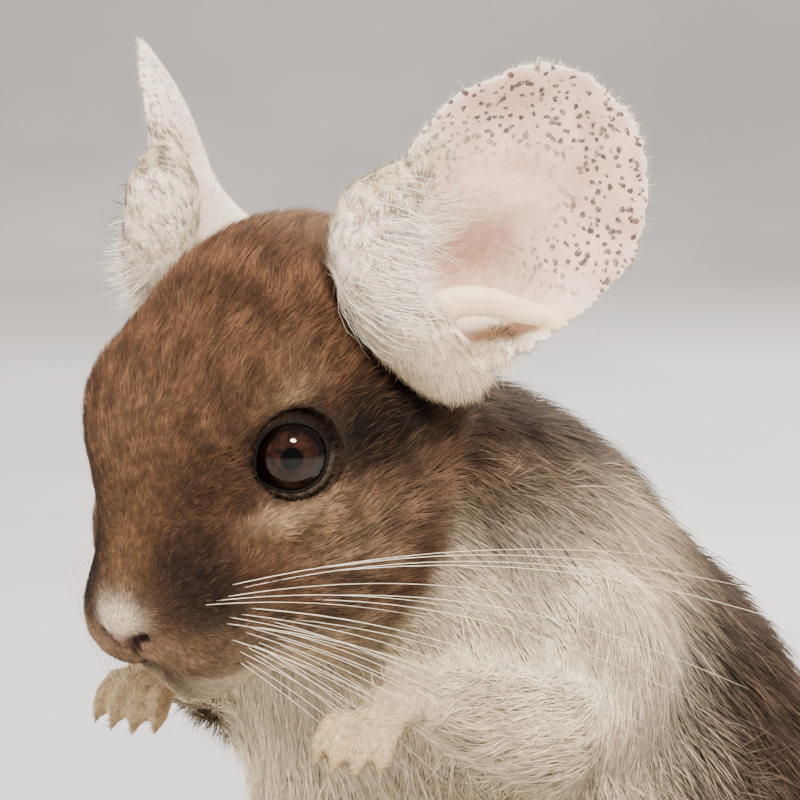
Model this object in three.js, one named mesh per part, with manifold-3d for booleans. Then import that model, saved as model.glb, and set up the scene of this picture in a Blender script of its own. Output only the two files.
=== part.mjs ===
// A life-size chinchilla sitting up on its haunches and leaning forward, its head lowered and turned a little to its
// right, with both forepaws held up under the chin. Millimetres, +Z up, floor at z = 0.
// The animal faces -Y, so its left side is at +X.
import * as THREE from "three";
import { mergeVertices } from "three/addons/utils/BufferGeometryUtils.js";
import Module from "manifold-3d";

const wasm = await Module();
wasm.setup();

// Driving sizes
const GAP = 0.3; // between parts that touch
const HEAD_AT = [-4, -50, 141]; // point midway between the eyes
const HEAD_YAW = -5; // degrees, negative towards the animal's right
const HEAD_PITCH = 24; // degrees, nose down
const EYE_AT = [16.5, -1, 0]; // left eye's centre, in the head's own axes
const EYE_RADIUS = 6.4;
const EYE_YAW = 52; // degrees sideways from straight ahead
const EYE_RISE = 14; // degrees above level
const LID_OFFSET = 2.9; // from the eye's centre to the plane of the lids
const LID_THICKNESS = 1;
const NOSE_TIP = [0, -29.5, -16.5];
const EAR_CENTRE = [35.5, 36, 18.5]; // middle of the left ear's cup, in the head's own axes
const EAR_LENGTH_AXIS = [0.48, 0.46, 0.745];
const EAR_OPENING_AXIS = [0.61, -0.77, 0.08];
const EAR_HALF_WIDTH = 18.5;
const EAR_ABOVE = 22.5; // from the cup's widest line to the tip
const EAR_BELOW = 27.5; // and down to the notch
const EAR_WIDEST = 3; // height of the widest line over the cup's middle
const EAR_THICKNESS = 1.5;
const EAR_CUP_DEPTH = 6.5;
const EAR_CANAL_DEPTH = 7.5; // more depth low in the cup, where the canal opens
const WRIST = [22.5, -37, 102]; // left side
const ELBOW = [35, -3, 92];
const UPPER_ARM_AT = [30, 1, 102];
const UPPER_ARM_HALF = [15.5, 18, 21];
const DIGIT_LENGTH = 9.5;
const HEEL = [36, 31, 7.2]; // left hind foot
const BALL_OF_FOOT = [39, -12, 4.6];
const TOE_LENGTH = 19;
const TAIL_PATH = [
  [0, 78, 26],
  [1, 100, 17],
  [9, 126, 15],
  [26, 148, 14],
  [49, 162, 13],
];
const TAIL_CORE = 8; // half thickness of the tail under its brush
const TAIL_BRUSH = 18; // from the tail's middle line to the tips of its hair
const TAIL_LOCK_LENGTH = 33;
const TAIL_LOCK_WIDTH = 6.8; // half width at the middle of a lock
const LOCKS_ROUND_TAIL = 6;
// Lengths of the tail: where each begins and ends, and where its rings of locks grow, from 0 to 1 along it
const TAIL_LENGTHS = [
  { name: "tail_base", from: 0, to: 0.36, rings: [0.12, 0.25] },
  { name: "tail_middle", from: 0.36, to: 0.66, rings: [0.38, 0.53] },
  { name: "tail_tip", from: 0.66, to: 1, rings: [0.7, 0.9] },
];

const vec = (p) => new THREE.Vector3(...p);
const radians = THREE.MathUtils.degToRad;
const mix = THREE.MathUtils.lerp;
const smoothstep = THREE.MathUtils.smoothstep;

// Smooth shapes: functions of a point, negative inside and about the distance outside.

// An ellipsoid with the half sizes given, tipped about X by `tip` degrees.
function mass(centre, half, tip = 0) {
  const [cx, cy, cz] = centre;
  const [a, b, c] = half;
  const cos = Math.cos(radians(tip));
  const sin = Math.sin(radians(tip));
  return (p) => {
    const x = p.x - cx;
    const y = cos * (p.y - cy) + sin * (p.z - cz);
    const z = cos * (p.z - cz) - sin * (p.y - cy);
    const near = Math.hypot(x / a, y / b, z / c);
    const slope = Math.hypot(x / (a * a), y / (b * b), z / (c * c));
    return slope < 1e-9 ? -Math.min(a, b, c) : (near * (near - 1)) / slope;
  };
}

// The same mass on both sides of the body.
const pair = ([x, y, z], half, tip = 0) => [
  mass([x, y, z], half, tip),
  mass([-x, y, z], half, tip),
];

// Joins shapes with a rounded crease about `softness` wide.
function blend(shapes, softness) {
  return (p) =>
    shapes
      .map((shape) => shape(p))
      .reduce((a, b) => {
        const h = Math.max(softness - Math.abs(a - b), 0) / softness;
        return Math.min(a, b) - (h * h * softness) / 4;
      });
}

// Takes `tool` out of `shape`, with a rounded edge.
function hollow(shape, tool, softness) {
  return (p) => {
    const a = shape(p);
    const b = -tool(p);
    const h = Math.max(softness - Math.abs(a - b), 0) / softness;
    return Math.max(a, b) + (h * h * softness) / 4;
  };
}

// Closed solids

function solidFrom(geometry) {
  const bare = geometry.clone();
  for (const name of ["normal", "uv"]) bare.deleteAttribute(name);
  const merged = mergeVertices(bare, 1e-4);
  const vertProperties = new Float32Array(merged.attributes.position.array);
  const triVerts = new Uint32Array(merged.index.array);
  const mesh = () => new wasm.Mesh({ numProp: 3, vertProperties, triVerts });
  const solid = new wasm.Manifold(mesh());
  if (solid.volume() > 0) return solid;
  triVerts.reverse();
  return new wasm.Manifold(mesh());
}

function geometryFrom(solid) {
  const mesh = solid.getMesh();
  const geometry = new THREE.BufferGeometry();
  geometry.setAttribute("position", new THREE.BufferAttribute(mesh.vertProperties, 3));
  geometry.setIndex(new THREE.BufferAttribute(mesh.triVerts, 1));
  return geometry.toNonIndexed();
}

// The largest closed body of a solid, without loose scraps.
function largest(solid) {
  return solid.decompose().reduce((a, b) => (a.volume() > b.volume() ? a : b));
}

const joined = (solids) => largest(solids.reduce((a, b) => a.add(b)));
const without = (solid, tools) => largest(tools.reduce((a, b) => a.subtract(b), solid));

// A ball round `core` whose points move along their rays to the outside of `shape`, `grow` beyond it.
function wrapped(shape, core, detail, grow = 0) {
  const reach = 140;
  const closeness = 0.01;
  const geometry = new THREE.IcosahedronGeometry(1, detail);
  const position = geometry.attributes.position;
  const ray = new THREE.Vector3();
  const point = new THREE.Vector3();
  for (let i = 0; i < position.count; i++) {
    ray.fromBufferAttribute(position, i).normalize();
    let far = reach;
    for (let step = 0; step < 90; step++) {
      point.copy(ray).multiplyScalar(far).add(core);
      const left = shape(point) - grow;
      if (left < closeness) break;
      far -= 0.75 * left;
    }
    position.setXYZ(i, point.x, point.y, point.z);
  }
  return solidFrom(geometry);
}

// A sphere drawn out along a curve. `width` and `height` give the half sizes of its section at t from 0 to 1,
// and `up` is the direction in which the section's height lies.
function stretched(curve, width, height, up, sides, rings) {
  const geometry = new THREE.SphereGeometry(1, sides, rings);
  const { position, uv } = geometry.attributes;
  const along = new THREE.Vector3();
  const across = new THREE.Vector3();
  const over = new THREE.Vector3();
  for (let i = 0; i < position.count; i++) {
    const t = THREE.MathUtils.clamp(1 - uv.getY(i), 0, 1);
    const isPole = t < 1e-6 || t > 1 - 1e-6;
    const angle = 2 * Math.PI * (Math.round(uv.getX(i) * sides) / sides);
    curve.getTangentAt(t, along);
    across.crossVectors(along, up).normalize();
    over.crossVectors(across, along);
    const point = curve.getPointAt(t);
    if (!isPole) {
      point.addScaledVector(across, Math.cos(angle) * width(t));
      point.addScaledVector(over, Math.sin(angle) * height(t));
    }
    position.setXYZ(i, point.x, point.y, point.z);
  }
  return solidFrom(geometry);
}

const curveThrough = (points) => new THREE.CatmullRomCurve3(points.map(vec), false, "centripetal");

// Half sizes listed along a length, read at t, with round ends that take `cap` of the length each.
function sizesAlong(sizes, cap) {
  return (t) => {
    const place = t * (sizes.length - 1);
    const i = Math.min(Math.floor(place), sizes.length - 2);
    const size = mix(sizes[i], sizes[i + 1], place - i);
    const toEnd = Math.min(t, 1 - t) / cap;
    return size * (toEnd < 1 ? Math.sqrt(1 - (1 - toEnd) ** 2) : 1);
  };
}

const ball = (centre, radius, detail) =>
  solidFrom(new THREE.IcosahedronGeometry(radius, detail).translate(...centre));

// Placing

const headMatrix = new THREE.Matrix4().compose(
  vec(HEAD_AT),
  new THREE.Quaternion().setFromEuler(
    new THREE.Euler(radians(HEAD_PITCH), 0, radians(HEAD_YAW), "ZXY"),
  ),
  new THREE.Vector3(1, 1, 1),
);
const mirror = new THREE.Matrix4().makeScale(-1, 1, 1);
const moved = (solid, matrix) => solid.transform(matrix.elements);
const mirrored = (solid) => moved(solid, mirror);
const inBody = (solid) => moved(solid, headMatrix);

const floorCutter = solidFrom(new THREE.BoxGeometry(600, 600, 60).translate(0, 0, -30));

// Head, in its own axes: origin midway between the eyes, nose towards -Y

const eyeAxis = new THREE.Vector3(
  Math.sin(radians(EYE_YAW)) * Math.cos(radians(EYE_RISE)),
  -Math.cos(radians(EYE_YAW)) * Math.cos(radians(EYE_RISE)),
  Math.sin(radians(EYE_RISE)),
);

// A shallow bowl over each eye keeps the brow and cheek clear of it.
function eyeBowl(side) {
  const centre = eyeAxis.clone().multiplyScalar(14).add(vec(EYE_AT));
  return mass([side * centre.x, centre.y, centre.z], [10.2, 10.2, 10.2]);
}

const skull = blend(
  [
    mass([0, 17, 0], [24, 26, 26]),
    mass([0, -2, 2], [17, 17, 14.5]),
    mass([0, -14, -13], [11.5, 14, 12], 24),
    mass([0, 5, -23], [18, 24, 15]),
    mass([0, 28, -6], [24, 15, 25]),
    ...pair([14, 7, -18], [13.5, 22, 19]),
    ...pair([12.5, 1, 7], [6, 9, 6]),
  ],
  9,
);
const face = blend(
  [
    skull,
    mass([NOSE_TIP[0], NOSE_TIP[1] + 4.5, NOSE_TIP[2]], [5.4, 4.6, 5]),
    ...pair([7.5, -17, -20], [8.5, 10, 9]),
    mass([0, -14, -30], [7, 9, 5.5]),
  ],
  4,
);
const headShape = [1, -1].reduce((shape, side) => hollow(shape, eyeBowl(side), 5), face);

function lidRing() {
  const radius = Math.sqrt(EYE_RADIUS ** 2 - LID_OFFSET ** 2);
  const ring = new THREE.TorusGeometry(radius, LID_THICKNESS, 6, 22);
  const turn = new THREE.Quaternion().setFromUnitVectors(new THREE.Vector3(0, 0, 1), eyeAxis);
  const centre = eyeAxis.clone().multiplyScalar(LID_OFFSET).add(vec(EYE_AT));
  return solidFrom(ring.applyQuaternion(turn).translate(centre.x, centre.y, centre.z));
}

function nostril() {
  const [x, y, z] = NOSE_TIP;
  const path = curveThrough([
    [x + 1.4, y + 1.6, z - 3.4],
    [x + 2.3, y - 0.2, z - 1.6],
    [x + 4.2, y + 0.6, z - 0.6],
  ]);
  const size = sizesAlong([0.7, 1.1, 0.7], 0.3);
  return stretched(path, size, size, new THREE.Vector3(0, 1, 0.1), 6, 6);
}

// The cleft of the upper lip and the line of the mouth, cut as thin grooves.
function mouthGrooves() {
  const [, y, z] = NOSE_TIP;
  const up = new THREE.Vector3(0, 0, 1);
  const cleft = curveThrough([
    [0, y + 0.6, z - 4],
    [0, y + 1.2, z - 6.5],
    [0, y + 3.6, z - 9],
  ]);
  const mouth = curveThrough([
    [-10, -10, -22.8],
    [-6, -19.5, -23],
    [0, -24.2, -22.4],
    [6, -19.5, -23],
    [10, -10, -22.8],
  ]);
  const deep = sizesAlong([1.5, 2, 1.5], 0.1);
  const thin = sizesAlong([0.45, 0.45], 0.1);
  return [
    stretched(cleft, thin, deep, new THREE.Vector3(0, 1, 0), 4, 6),
    stretched(mouth, deep, thin, up, 4, 16),
  ];
}

const HEAD_CORE = new THREE.Vector3(0, -3, -7);
const HEAD_DETAIL = 9;
const eyeSolid = ball(EYE_AT, EYE_RADIUS, 3);
const eyeCutter = ball(EYE_AT, EYE_RADIUS + GAP, 3);
const headBlank = wrapped(headShape, HEAD_CORE, HEAD_DETAIL);
const headGrown = wrapped(headShape, HEAD_CORE, HEAD_DETAIL, GAP);
const headSolid = without(joined([headBlank, lidRing(), mirrored(lidRing())]), [
  eyeCutter,
  mirrored(eyeCutter),
  nostril(),
  mirrored(nostril()),
  ...mouthGrooves(),
]);

// Ear

// Axes of the left ear: `across` from its front rim to its rear rim, `along` to the tip, `out` of the opening.
const earMatrix = (() => {
  const along = vec(EAR_LENGTH_AXIS).normalize();
  const out = vec(EAR_OPENING_AXIS);
  out.addScaledVector(along, -out.dot(along)).normalize();
  const across = new THREE.Vector3().crossVectors(along, out);
  return new THREE.Matrix4().makeBasis(across, along, out).setPosition(...EAR_CENTRE);
})();

// How far the cup's surface lies behind the plane of its rim.
function cupDepth(a, b, r) {
  const low = smoothstep(-b, -4, 22);
  const belly = 1 - r * r;
  const canal = Math.exp(-((a - 1) ** 2 + (b + 13) ** 2) / 70);
  return EAR_CUP_DEPTH * belly * (1 + 0.35 * low) + EAR_CANAL_DEPTH * canal * (1 - r ** 4);
}

// Rim of the cup: it leans back towards the tip and turns forward at the sides low down.
function rimHeight(a, b) {
  const side = (a / EAR_HALF_WIDTH) ** 2;
  const low = smoothstep(-b, 0, 22);
  return 2.5 * side * (0.4 + low) - 0.004 * b * Math.abs(b);
}

function earCup() {
  const sides = 20;
  const rings = 10;
  const geometry = new THREE.SphereGeometry(1, sides, rings);
  const { position, uv } = geometry.attributes;
  for (let i = 0; i < position.count; i++) {
    const polar = Math.PI * (1 - uv.getY(i));
    const angle = 2 * Math.PI * (Math.round(uv.getX(i) * sides) / sides);
    const isPole = Math.sin(polar) < 1e-6;
    const r = isPole ? 0 : Math.sin(polar) ** 0.8;
    const front = Math.cos(polar) > 0 ? 1 : -1;
    const height = Math.sin(angle);
    const taper = 1 - 0.34 * Math.max(0, -height) ** 1.5;
    const a = r * EAR_HALF_WIDTH * Math.cos(angle) * taper;
    const b = EAR_WIDEST + r * (height > 0 ? EAR_ABOVE : EAR_BELOW) * height;
    const wall = (EAR_THICKNESS / 2) * (1 + 0.8 * (1 - r)) * Math.sqrt(Math.max(0, 1 - r ** 8));
    const depth = rimHeight(a, b) - cupDepth(a, b, r);
    position.setXYZ(i, a, b, depth + front * wall);
  }
  return solidFrom(geometry);
}

// The furry roll at the ear's root, from the crown round the front of the cup to the lobe below the notch.
function earRoot() {
  const path = curveThrough([
    [-16.5, 3, -1.5],
    [-18, -9, 2.5],
    [-11.5, -16.5, 5],
    [-4, -21, 4.5],
    [3, -23, 3],
    [7, -20, 1],
  ]);
  const size = sizesAlong([2.6, 5.6, 5.8, 4.9, 4.2, 3.2], 0.22);
  return stretched(path, size, size, new THREE.Vector3(0, 0.1, 1), 8, 10);
}

// The folded lobe that curls in from the rear rim over the canal.
function earFold() {
  const path = curveThrough([
    [13.5, -9.5, 0],
    [8, -10.5, 0.5],
    [1.5, -11.5, 1.5],
    [-3.5, -14.5, 2.5],
    [-1, -18.5, 2],
    [5, -20, 0.5],
  ]);
  const width = sizesAlong([1.6, 2, 2.4, 2.6, 2.2, 1.6], 0.15);
  const height = sizesAlong([1.2, 1.4, 1.6, 1.8, 1.8, 1.4], 0.15);
  return stretched(path, width, height, new THREE.Vector3(0, 0, 1), 6, 10);
}

const earWhole = moved(joined([earCup(), earRoot(), earFold()]), earMatrix);
const earSolid = without(earWhole, [headGrown]);

// Trunk: rump, belly, back, chest, shoulders and nape in one smooth shape, parted at the neck

const trunkShape = blend(
  [
    mass([0, 50, 45], [51, 46, 48]),
    mass([0, 18, 58], [43, 42, 52]),
    mass([0, 32, 78], [45, 47, 44]),
    mass([0, -6, 98], [30, 28, 33]),
    mass([0, 8, 112], [34, 33, 34]),
    mass([0, -20, 125], [24, 25, 27]),
  ],
  22,
);
const TRUNK_CORE = new THREE.Vector3(0, 20, 82);
const TRUNK_DETAIL = 6;
const NECK_PLANE_AT = new THREE.Vector3(0, -13, 124);
const NECK_DIRECTION = new THREE.Vector3(0, -0.86, 0.5).normalize();
const trunkSolid = without(wrapped(trunkShape, TRUNK_CORE, TRUNK_DETAIL), [floorCutter]);

// A large block that lies beyond the plane through `at` that faces `direction`, `shift` further on.
function beyond(at, direction, shift) {
  const size = 300;
  const turn = new THREE.Quaternion().setFromUnitVectors(new THREE.Vector3(0, 0, 1), direction);
  const centre = at.clone().addScaledVector(direction, size / 2 + shift);
  const block = new THREE.BoxGeometry(size, size, size).applyQuaternion(turn);
  return solidFrom(block.translate(centre.x, centre.y, centre.z));
}

const neckSide = (shift) => beyond(NECK_PLANE_AT, NECK_DIRECTION, shift);

// Limbs, left side first

const upperArm = (grow) => wrapped(mass(UPPER_ARM_AT, UPPER_ARM_HALF), vec(UPPER_ARM_AT), 3, grow);

// The forearm grown all over by `grow` is the tool that cuts its neighbours clear of it.
function forearm(grow) {
  const elbow = vec(ELBOW);
  const wrist = vec(WRIST);
  const direction = wrist.clone().sub(elbow).normalize();
  const path = new THREE.LineCurve3(
    elbow.addScaledVector(direction, -2 * grow),
    wrist.addScaledVector(direction, 2 * grow),
  );
  const girth = sizesAlong([12.5, 13, 11.5, 9, 5].map((size) => size + grow), 0.2);
  return stretched(path, girth, girth, new THREE.Vector3(0, 0, 1), 10, 8);
}

// A hand or foot: a flattened palm with digits fanned out in a loop, each ending in a small claw.
function digit(root, direction, droop, length, size) {
  const tip = root.clone().addScaledVector(direction, length);
  const knuckle = root.clone().addScaledVector(direction, length * 0.55);
  knuckle.z += droop * 0.35;
  tip.z -= droop;
  const path = new THREE.CatmullRomCurve3([root, knuckle, tip], false, "centripetal");
  const girth = sizesAlong([size, size * 1.05, size * 0.8], 0.22);
  const clawRoot = mixPoint(knuckle, tip, 0.8);
  const clawTip = tip.clone().addScaledVector(tip.clone().sub(knuckle).normalize(), size * 1.1);
  const claw = new THREE.LineCurve3(clawRoot, clawTip);
  const clawGirth = (t) => size * 0.5 * (1 - t) + 0.25;
  const up = new THREE.Vector3(0.05, 0.1, 1);
  return [
    stretched(path, girth, girth, up, 6, 5),
    stretched(claw, clawGirth, clawGirth, up, 4, 3),
  ];
}

const mixPoint = (a, b, t) => new THREE.Vector3().lerpVectors(a, b, t);

function forepaw() {
  const wrist = vec(WRIST);
  const knuckles = wrist.clone().add(new THREE.Vector3(-1, -8, -1));
  const path = new THREE.CatmullRomCurve3([
    wrist.clone().add(new THREE.Vector3(1.4, 4, -0.6)),
    wrist,
    mixPoint(wrist, knuckles, 0.6),
    knuckles,
  ]);
  const width = sizesAlong([4.4, 4.6, 5.6, 5.4], 0.2);
  const height = sizesAlong([4, 3.8, 3.6, 3], 0.2);
  const palm = stretched(path, width, height, new THREE.Vector3(0, 0.1, 1), 8, 6);
  const digits = [-1.5, -0.5, 0.5, 1.5].flatMap((place) => {
    const root = knuckles.clone().add(new THREE.Vector3(place * 2.7, 1.2, 0));
    const direction = new THREE.Vector3(place * 0.16, -0.86, -0.5).normalize();
    const shorter = 1 - 0.08 * Math.abs(place);
    return digit(root, direction, 2.6, DIGIT_LENGTH * shorter, 1.75);
  });
  return joined([palm, ...digits]);
}

// Haunch: thigh and shank folded under one rounded mass of fur.
const haunchShape = blend(
  [mass([36, 24, 40], [21, 39, 35]), mass([38, -2, 33], [16, 24, 25]), mass([36, 36, 18], [15, 22, 17])],
  12,
);
const HAUNCH_CORE = new THREE.Vector3(34, 20, 34);
const haunch = (grow) => wrapped(haunchShape, HAUNCH_CORE, 4, grow);

function hindfoot() {
  const heel = vec(HEEL);
  const ballOfFoot = vec(BALL_OF_FOOT);
  const path = new THREE.CatmullRomCurve3([
    heel,
    mixPoint(heel, ballOfFoot, 0.5),
    ballOfFoot,
    ballOfFoot.clone().add(new THREE.Vector3(0.5, -6, -0.6)),
  ]);
  const width = sizesAlong([7, 6.6, 7.6, 6.6], 0.16);
  const height = sizesAlong([7.5, 6.4, 5.6, 4.6], 0.16);
  const sole = stretched(path, width, height, new THREE.Vector3(0, 0.1, 1), 8, 7);
  const toes = [-1, 0, 1].flatMap((place) => {
    const root = ballOfFoot.clone().add(new THREE.Vector3(place * 4.6, -3, -0.6));
    const direction = new THREE.Vector3(place * 0.17, -1, 0).normalize();
    const shorter = 1 - 0.14 * Math.abs(place);
    return digit(root, direction, 1.6, TOE_LENGTH * shorter, 2.9);
  });
  return joined([sole, ...toes]);
}

// Tail: lengths of core, each with rings of tapered locks that bend back over the length behind it

const tailCurve = curveThrough(TAIL_PATH);
const tailCoreSize = sizesAlong([9.5, 8.6, TAIL_CORE, 7, 5], 0.1);

// A seeded number from 0 to 1, so that each build gives the same tail.
function seeded(seed) {
  let state = seed;
  return () => {
    state = (state * 1664525 + 1013904223) % 4294967296;
    return state / 4294967296;
  };
}

// One lock, rooted inside the core at t and `angle` round it. `chance` sets its bend to one side.
function tailLock(t, angle, length, spread, chance, grow) {
  const along = tailCurve.getTangentAt(t);
  const across = new THREE.Vector3().crossVectors(along, new THREE.Vector3(0, 0, 1)).normalize();
  const over = new THREE.Vector3().crossVectors(across, along);
  const outward = (turn) => {
    const way = across.clone().multiplyScalar(Math.cos(angle + turn));
    return way.addScaledVector(over, Math.sin(angle + turn));
  };
  const end = t + length / tailCurve.getLength();
  const past = Math.max(0, end - 1) * tailCurve.getLength() + 2 * grow;
  const root = tailCurve.getPointAt(t);
  const tip = tailCurve.getPointAt(Math.min(1, end));
  tip.addScaledVector(tailCurve.getTangentAt(Math.min(1, end)), past);
  const middle = mixPoint(root, tip, 0.45).addScaledVector(outward(0.7 * (chance - 0.5)), spread * 0.62);
  tip.addScaledVector(outward(0.5 * (0.5 - chance)), spread);
  const start = root.addScaledVector(outward(0), 2.5);
  const low = 1 + chance;
  for (const point of [middle, tip]) point.z = Math.max(point.z, low);
  const path = new THREE.CatmullRomCurve3([start, middle, tip], false, "centripetal");
  const width = (s) => TAIL_LOCK_WIDTH * Math.max(0, Math.sin(Math.PI * (0.18 + 0.8 * s))) ** 0.7 + 0.3 + grow;
  const height = (s) => 1.25 * (1 - s) + 0.35 + grow;
  return stretched(path, width, height, outward(0), 4, 4);
}

// Grown all over by `grow`, a length is the tool that cuts the next one clear of it.
function tailLength({ from, to, rings }, grow) {
  const chance = seeded(7 + Math.round(100 * from));
  const size = (t) => tailCoreSize(t) + grow;
  let core = stretched(tailCurve, size, size, new THREE.Vector3(0.1, 0, 1), 8, 12);
  const cutAt = (t, shift) => beyond(tailCurve.getPointAt(t), tailCurve.getTangentAt(t), shift);
  if (from > 0) core = core.intersect(cutAt(from, -grow));
  if (to < 1) core = core.subtract(cutAt(to, grow));
  const locks = rings.flatMap((t, ring) =>
    Array.from({ length: LOCKS_ROUND_TAIL }, (_, k) => {
      const angle = (2 * Math.PI * (k + 0.5 * (ring % 2))) / LOCKS_ROUND_TAIL + 0.2 * (chance() - 0.5);
      const length = TAIL_LOCK_LENGTH * (0.85 + 0.3 * chance());
      const spread = TAIL_BRUSH * Math.min(1, 0.6 + 1.1 * t) * (1 - 0.5 * smoothstep(t, 0.72, 1));
      return tailLock(t, angle, length, spread, chance(), grow);
    }),
  );
  return joined([core, ...locks]);
}

// Each part is cut back by the parts before it, so that neighbours meet face to face

const bothSides = (solid) => [solid, mirrored(solid)];
const headGrownInBody = inBody(headGrown);
const earsInBody = [inBody(earWhole), inBody(mirrored(earWhole))];
const torsoGrown = wrapped(trunkShape, TRUNK_CORE, TRUNK_DETAIL, GAP);
const haunchGrown = haunch(GAP);
const upperArmGrown = upperArm(GAP);
const forearmGrown = forearm(GAP);
const limbTools = [haunchGrown, upperArmGrown, forearmGrown].flatMap(bothSides);
const trunkTools = [headGrownInBody, ...limbTools, ...earsInBody];
const haunchSolid = without(haunch(0), [floorCutter]);
const footSolid = without(hindfoot(), [floorCutter, haunchGrown, torsoGrown]);
const upperArms = bothSides(upperArm(0)).map((solid) => without(solid, [headGrownInBody]));
const forearms = bothSides(forearm(0)).map((solid) => {
  return without(solid, [headGrownInBody, ...bothSides(upperArmGrown)]);
});
const pawSolid = without(forepaw(), [forearmGrown, torsoGrown]);
const neckSolid = without(trunkSolid.intersect(neckSide(GAP / 2)), trunkTools);
const torsoSolid = without(trunkSolid.subtract(neckSide(-GAP / 2)), trunkTools);
const tailTools = [floorCutter, torsoGrown, ...bothSides(haunchGrown)];
const tailSolids = TAIL_LENGTHS.map((length, place) => {
  const before = TAIL_LENGTHS.slice(0, place).map((other) => tailLength(other, GAP));
  return without(tailLength(length, 0), [...tailTools, ...before]);
});

// The finished group

const finish = (color, roughness, metalness = 0) =>
  new THREE.MeshStandardMaterial({ color, roughness, metalness });
const fur = finish("#6a5446", 0.9);
const paleFur = finish("#b7a48f", 0.9);
const earSkin = finish("#e2cdbd", 0.75);
const eyeSurface = finish("#2a1510", 0.08);

function meshOf(name, solid, material) {
  const mesh = new THREE.Mesh(geometryFrom(solid), material);
  mesh.name = name;
  return mesh;
}

const head = new THREE.Group();
head.applyMatrix4(headMatrix);
head.add(
  meshOf("head", headSolid, fur),
  meshOf("eye_left", eyeSolid, eyeSurface),
  meshOf("eye_right", mirrored(eyeSolid), eyeSurface),
  meshOf("ear_left", earSolid, earSkin),
  meshOf("ear_right", mirrored(earSolid), earSkin),
);

const animal = new THREE.Group();
animal.add(
  head,
  meshOf("neck", neckSolid, fur),
  meshOf("torso", torsoSolid, fur),
  meshOf("upper_arm_left", upperArms[0], paleFur),
  meshOf("upper_arm_right", upperArms[1], paleFur),
  meshOf("forearm_left", forearms[0], paleFur),
  meshOf("forearm_right", forearms[1], paleFur),
  meshOf("forepaw_left", pawSolid, paleFur),
  meshOf("forepaw_right", mirrored(pawSolid), paleFur),
  meshOf("hindleg_left", haunchSolid, fur),
  meshOf("hindleg_right", mirrored(haunchSolid), fur),
  meshOf("hindfoot_left", footSolid, paleFur),
  meshOf("hindfoot_right", mirrored(footSolid), paleFur),
  ...TAIL_LENGTHS.map(({ name }, place) => meshOf(name, tailSolids[place], fur)),
);

// The origin is at the middle of the bottom of the whole animal's box.
const box = new THREE.Box3().setFromObject(animal, true);
const middle = box.getCenter(new THREE.Vector3());
animal.position.set(-middle.x, -middle.y, -box.min.z);

const root = new THREE.Group();
root.add(animal);
export default root;
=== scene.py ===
# A life-size chinchilla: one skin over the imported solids, with its coat, ears, eyes, whiskers and claws.
# Metres, +Z up. The animal faces -Y and its left side is at +X.
import math
from contextlib import contextmanager

import bmesh
import bpy
import numpy as np
from mathutils import Matrix, Vector
from mathutils.bvhtree import BVHTree


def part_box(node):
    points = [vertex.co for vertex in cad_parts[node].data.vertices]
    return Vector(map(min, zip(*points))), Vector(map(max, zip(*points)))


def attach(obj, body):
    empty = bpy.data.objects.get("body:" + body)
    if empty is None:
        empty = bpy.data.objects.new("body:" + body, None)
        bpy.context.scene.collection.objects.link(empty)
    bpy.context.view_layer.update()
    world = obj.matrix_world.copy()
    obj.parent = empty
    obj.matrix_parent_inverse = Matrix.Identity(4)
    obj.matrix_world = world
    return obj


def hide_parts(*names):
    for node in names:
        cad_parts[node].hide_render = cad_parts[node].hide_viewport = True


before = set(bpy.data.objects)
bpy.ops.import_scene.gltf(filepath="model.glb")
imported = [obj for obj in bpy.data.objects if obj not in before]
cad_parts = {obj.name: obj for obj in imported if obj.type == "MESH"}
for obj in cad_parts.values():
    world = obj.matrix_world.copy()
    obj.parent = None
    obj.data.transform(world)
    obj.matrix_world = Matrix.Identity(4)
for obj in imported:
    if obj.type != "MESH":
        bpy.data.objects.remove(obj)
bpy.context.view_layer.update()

MM = 0.001
SEED = 11

# Driving values
HEAD_PITCH = math.radians(24)  # nose down
HEAD_YAW = math.radians(-5)  # towards the animal's right
CAMERA_AZIMUTH = 37  # degrees from straight in front towards the animal's left
CAMERA_ELEVATION = 9
CAMERA_TO_EYE = 512 * MM
FIELD_AT_EYE = 116.1 * MM  # width of the picture at the eye's distance
PICTURE = 800  # pixels
EYE_PIXEL = (290, 452)  # the left eye in the photo
SKIN_VOXEL = 0.95 * MM
FLESH_GROWN = 0.4 * MM  # so that neighbouring solids run into one another

FLESH = [
    "head", "neck", "torso", "upper_arm_left", "upper_arm_right", "forearm_left", "forearm_right",
    "forepaw_left", "forepaw_right", "hindleg_left", "hindleg_right", "hindfoot_left", "hindfoot_right",
]
PAW_KINDS = ["forepaw", "hindfoot"]
TAIL = [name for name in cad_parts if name.startswith("tail")]


def node_middle(name):
    low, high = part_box(name)
    return (low + high) / 2


EYES = {"left": node_middle("eye_left"), "right": node_middle("eye_right")}
EYE_RADIUS = max(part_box("eye_left")[1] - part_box("eye_left")[0]) / 2
SIGN = {"left": 1, "right": -1}

MODEL_HEAD_AT = (-4, -50, 141)  # the same point where the animal was drawn, in millimetres

# Head's own axes: x to the animal's left, y backwards, z up, from the point midway between the eyes
HEAD_TURN = Matrix.Rotation(HEAD_YAW, 3, "Z") @ Matrix.Rotation(HEAD_PITCH, 3, "X")
HEAD_AXES = np.array(HEAD_TURN)
HEAD_AT = (EYES["left"] + EYES["right"]) / 2 + HEAD_TURN @ Vector((0, 1 * MM, 0))
DRAWN_SHIFT = np.array(HEAD_AT) / MM - np.array(MODEL_HEAD_AT)


def at_head(x, y, z):
    """A place given in the head's own axes, in millimetres."""
    return HEAD_AT + HEAD_TURN @ (Vector((x, y, z)) * MM)


def in_head(points):
    """Places in the head's own axes, in millimetres."""
    return (np.asarray(points) - np.array(HEAD_AT)) @ HEAD_AXES / MM


# Arrays of points


def row_of(*values):
    return np.array(values, dtype=float)


def unit(v):
    return v / (np.linalg.norm(v, axis=-1, keepdims=True) + 1e-12)


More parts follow.
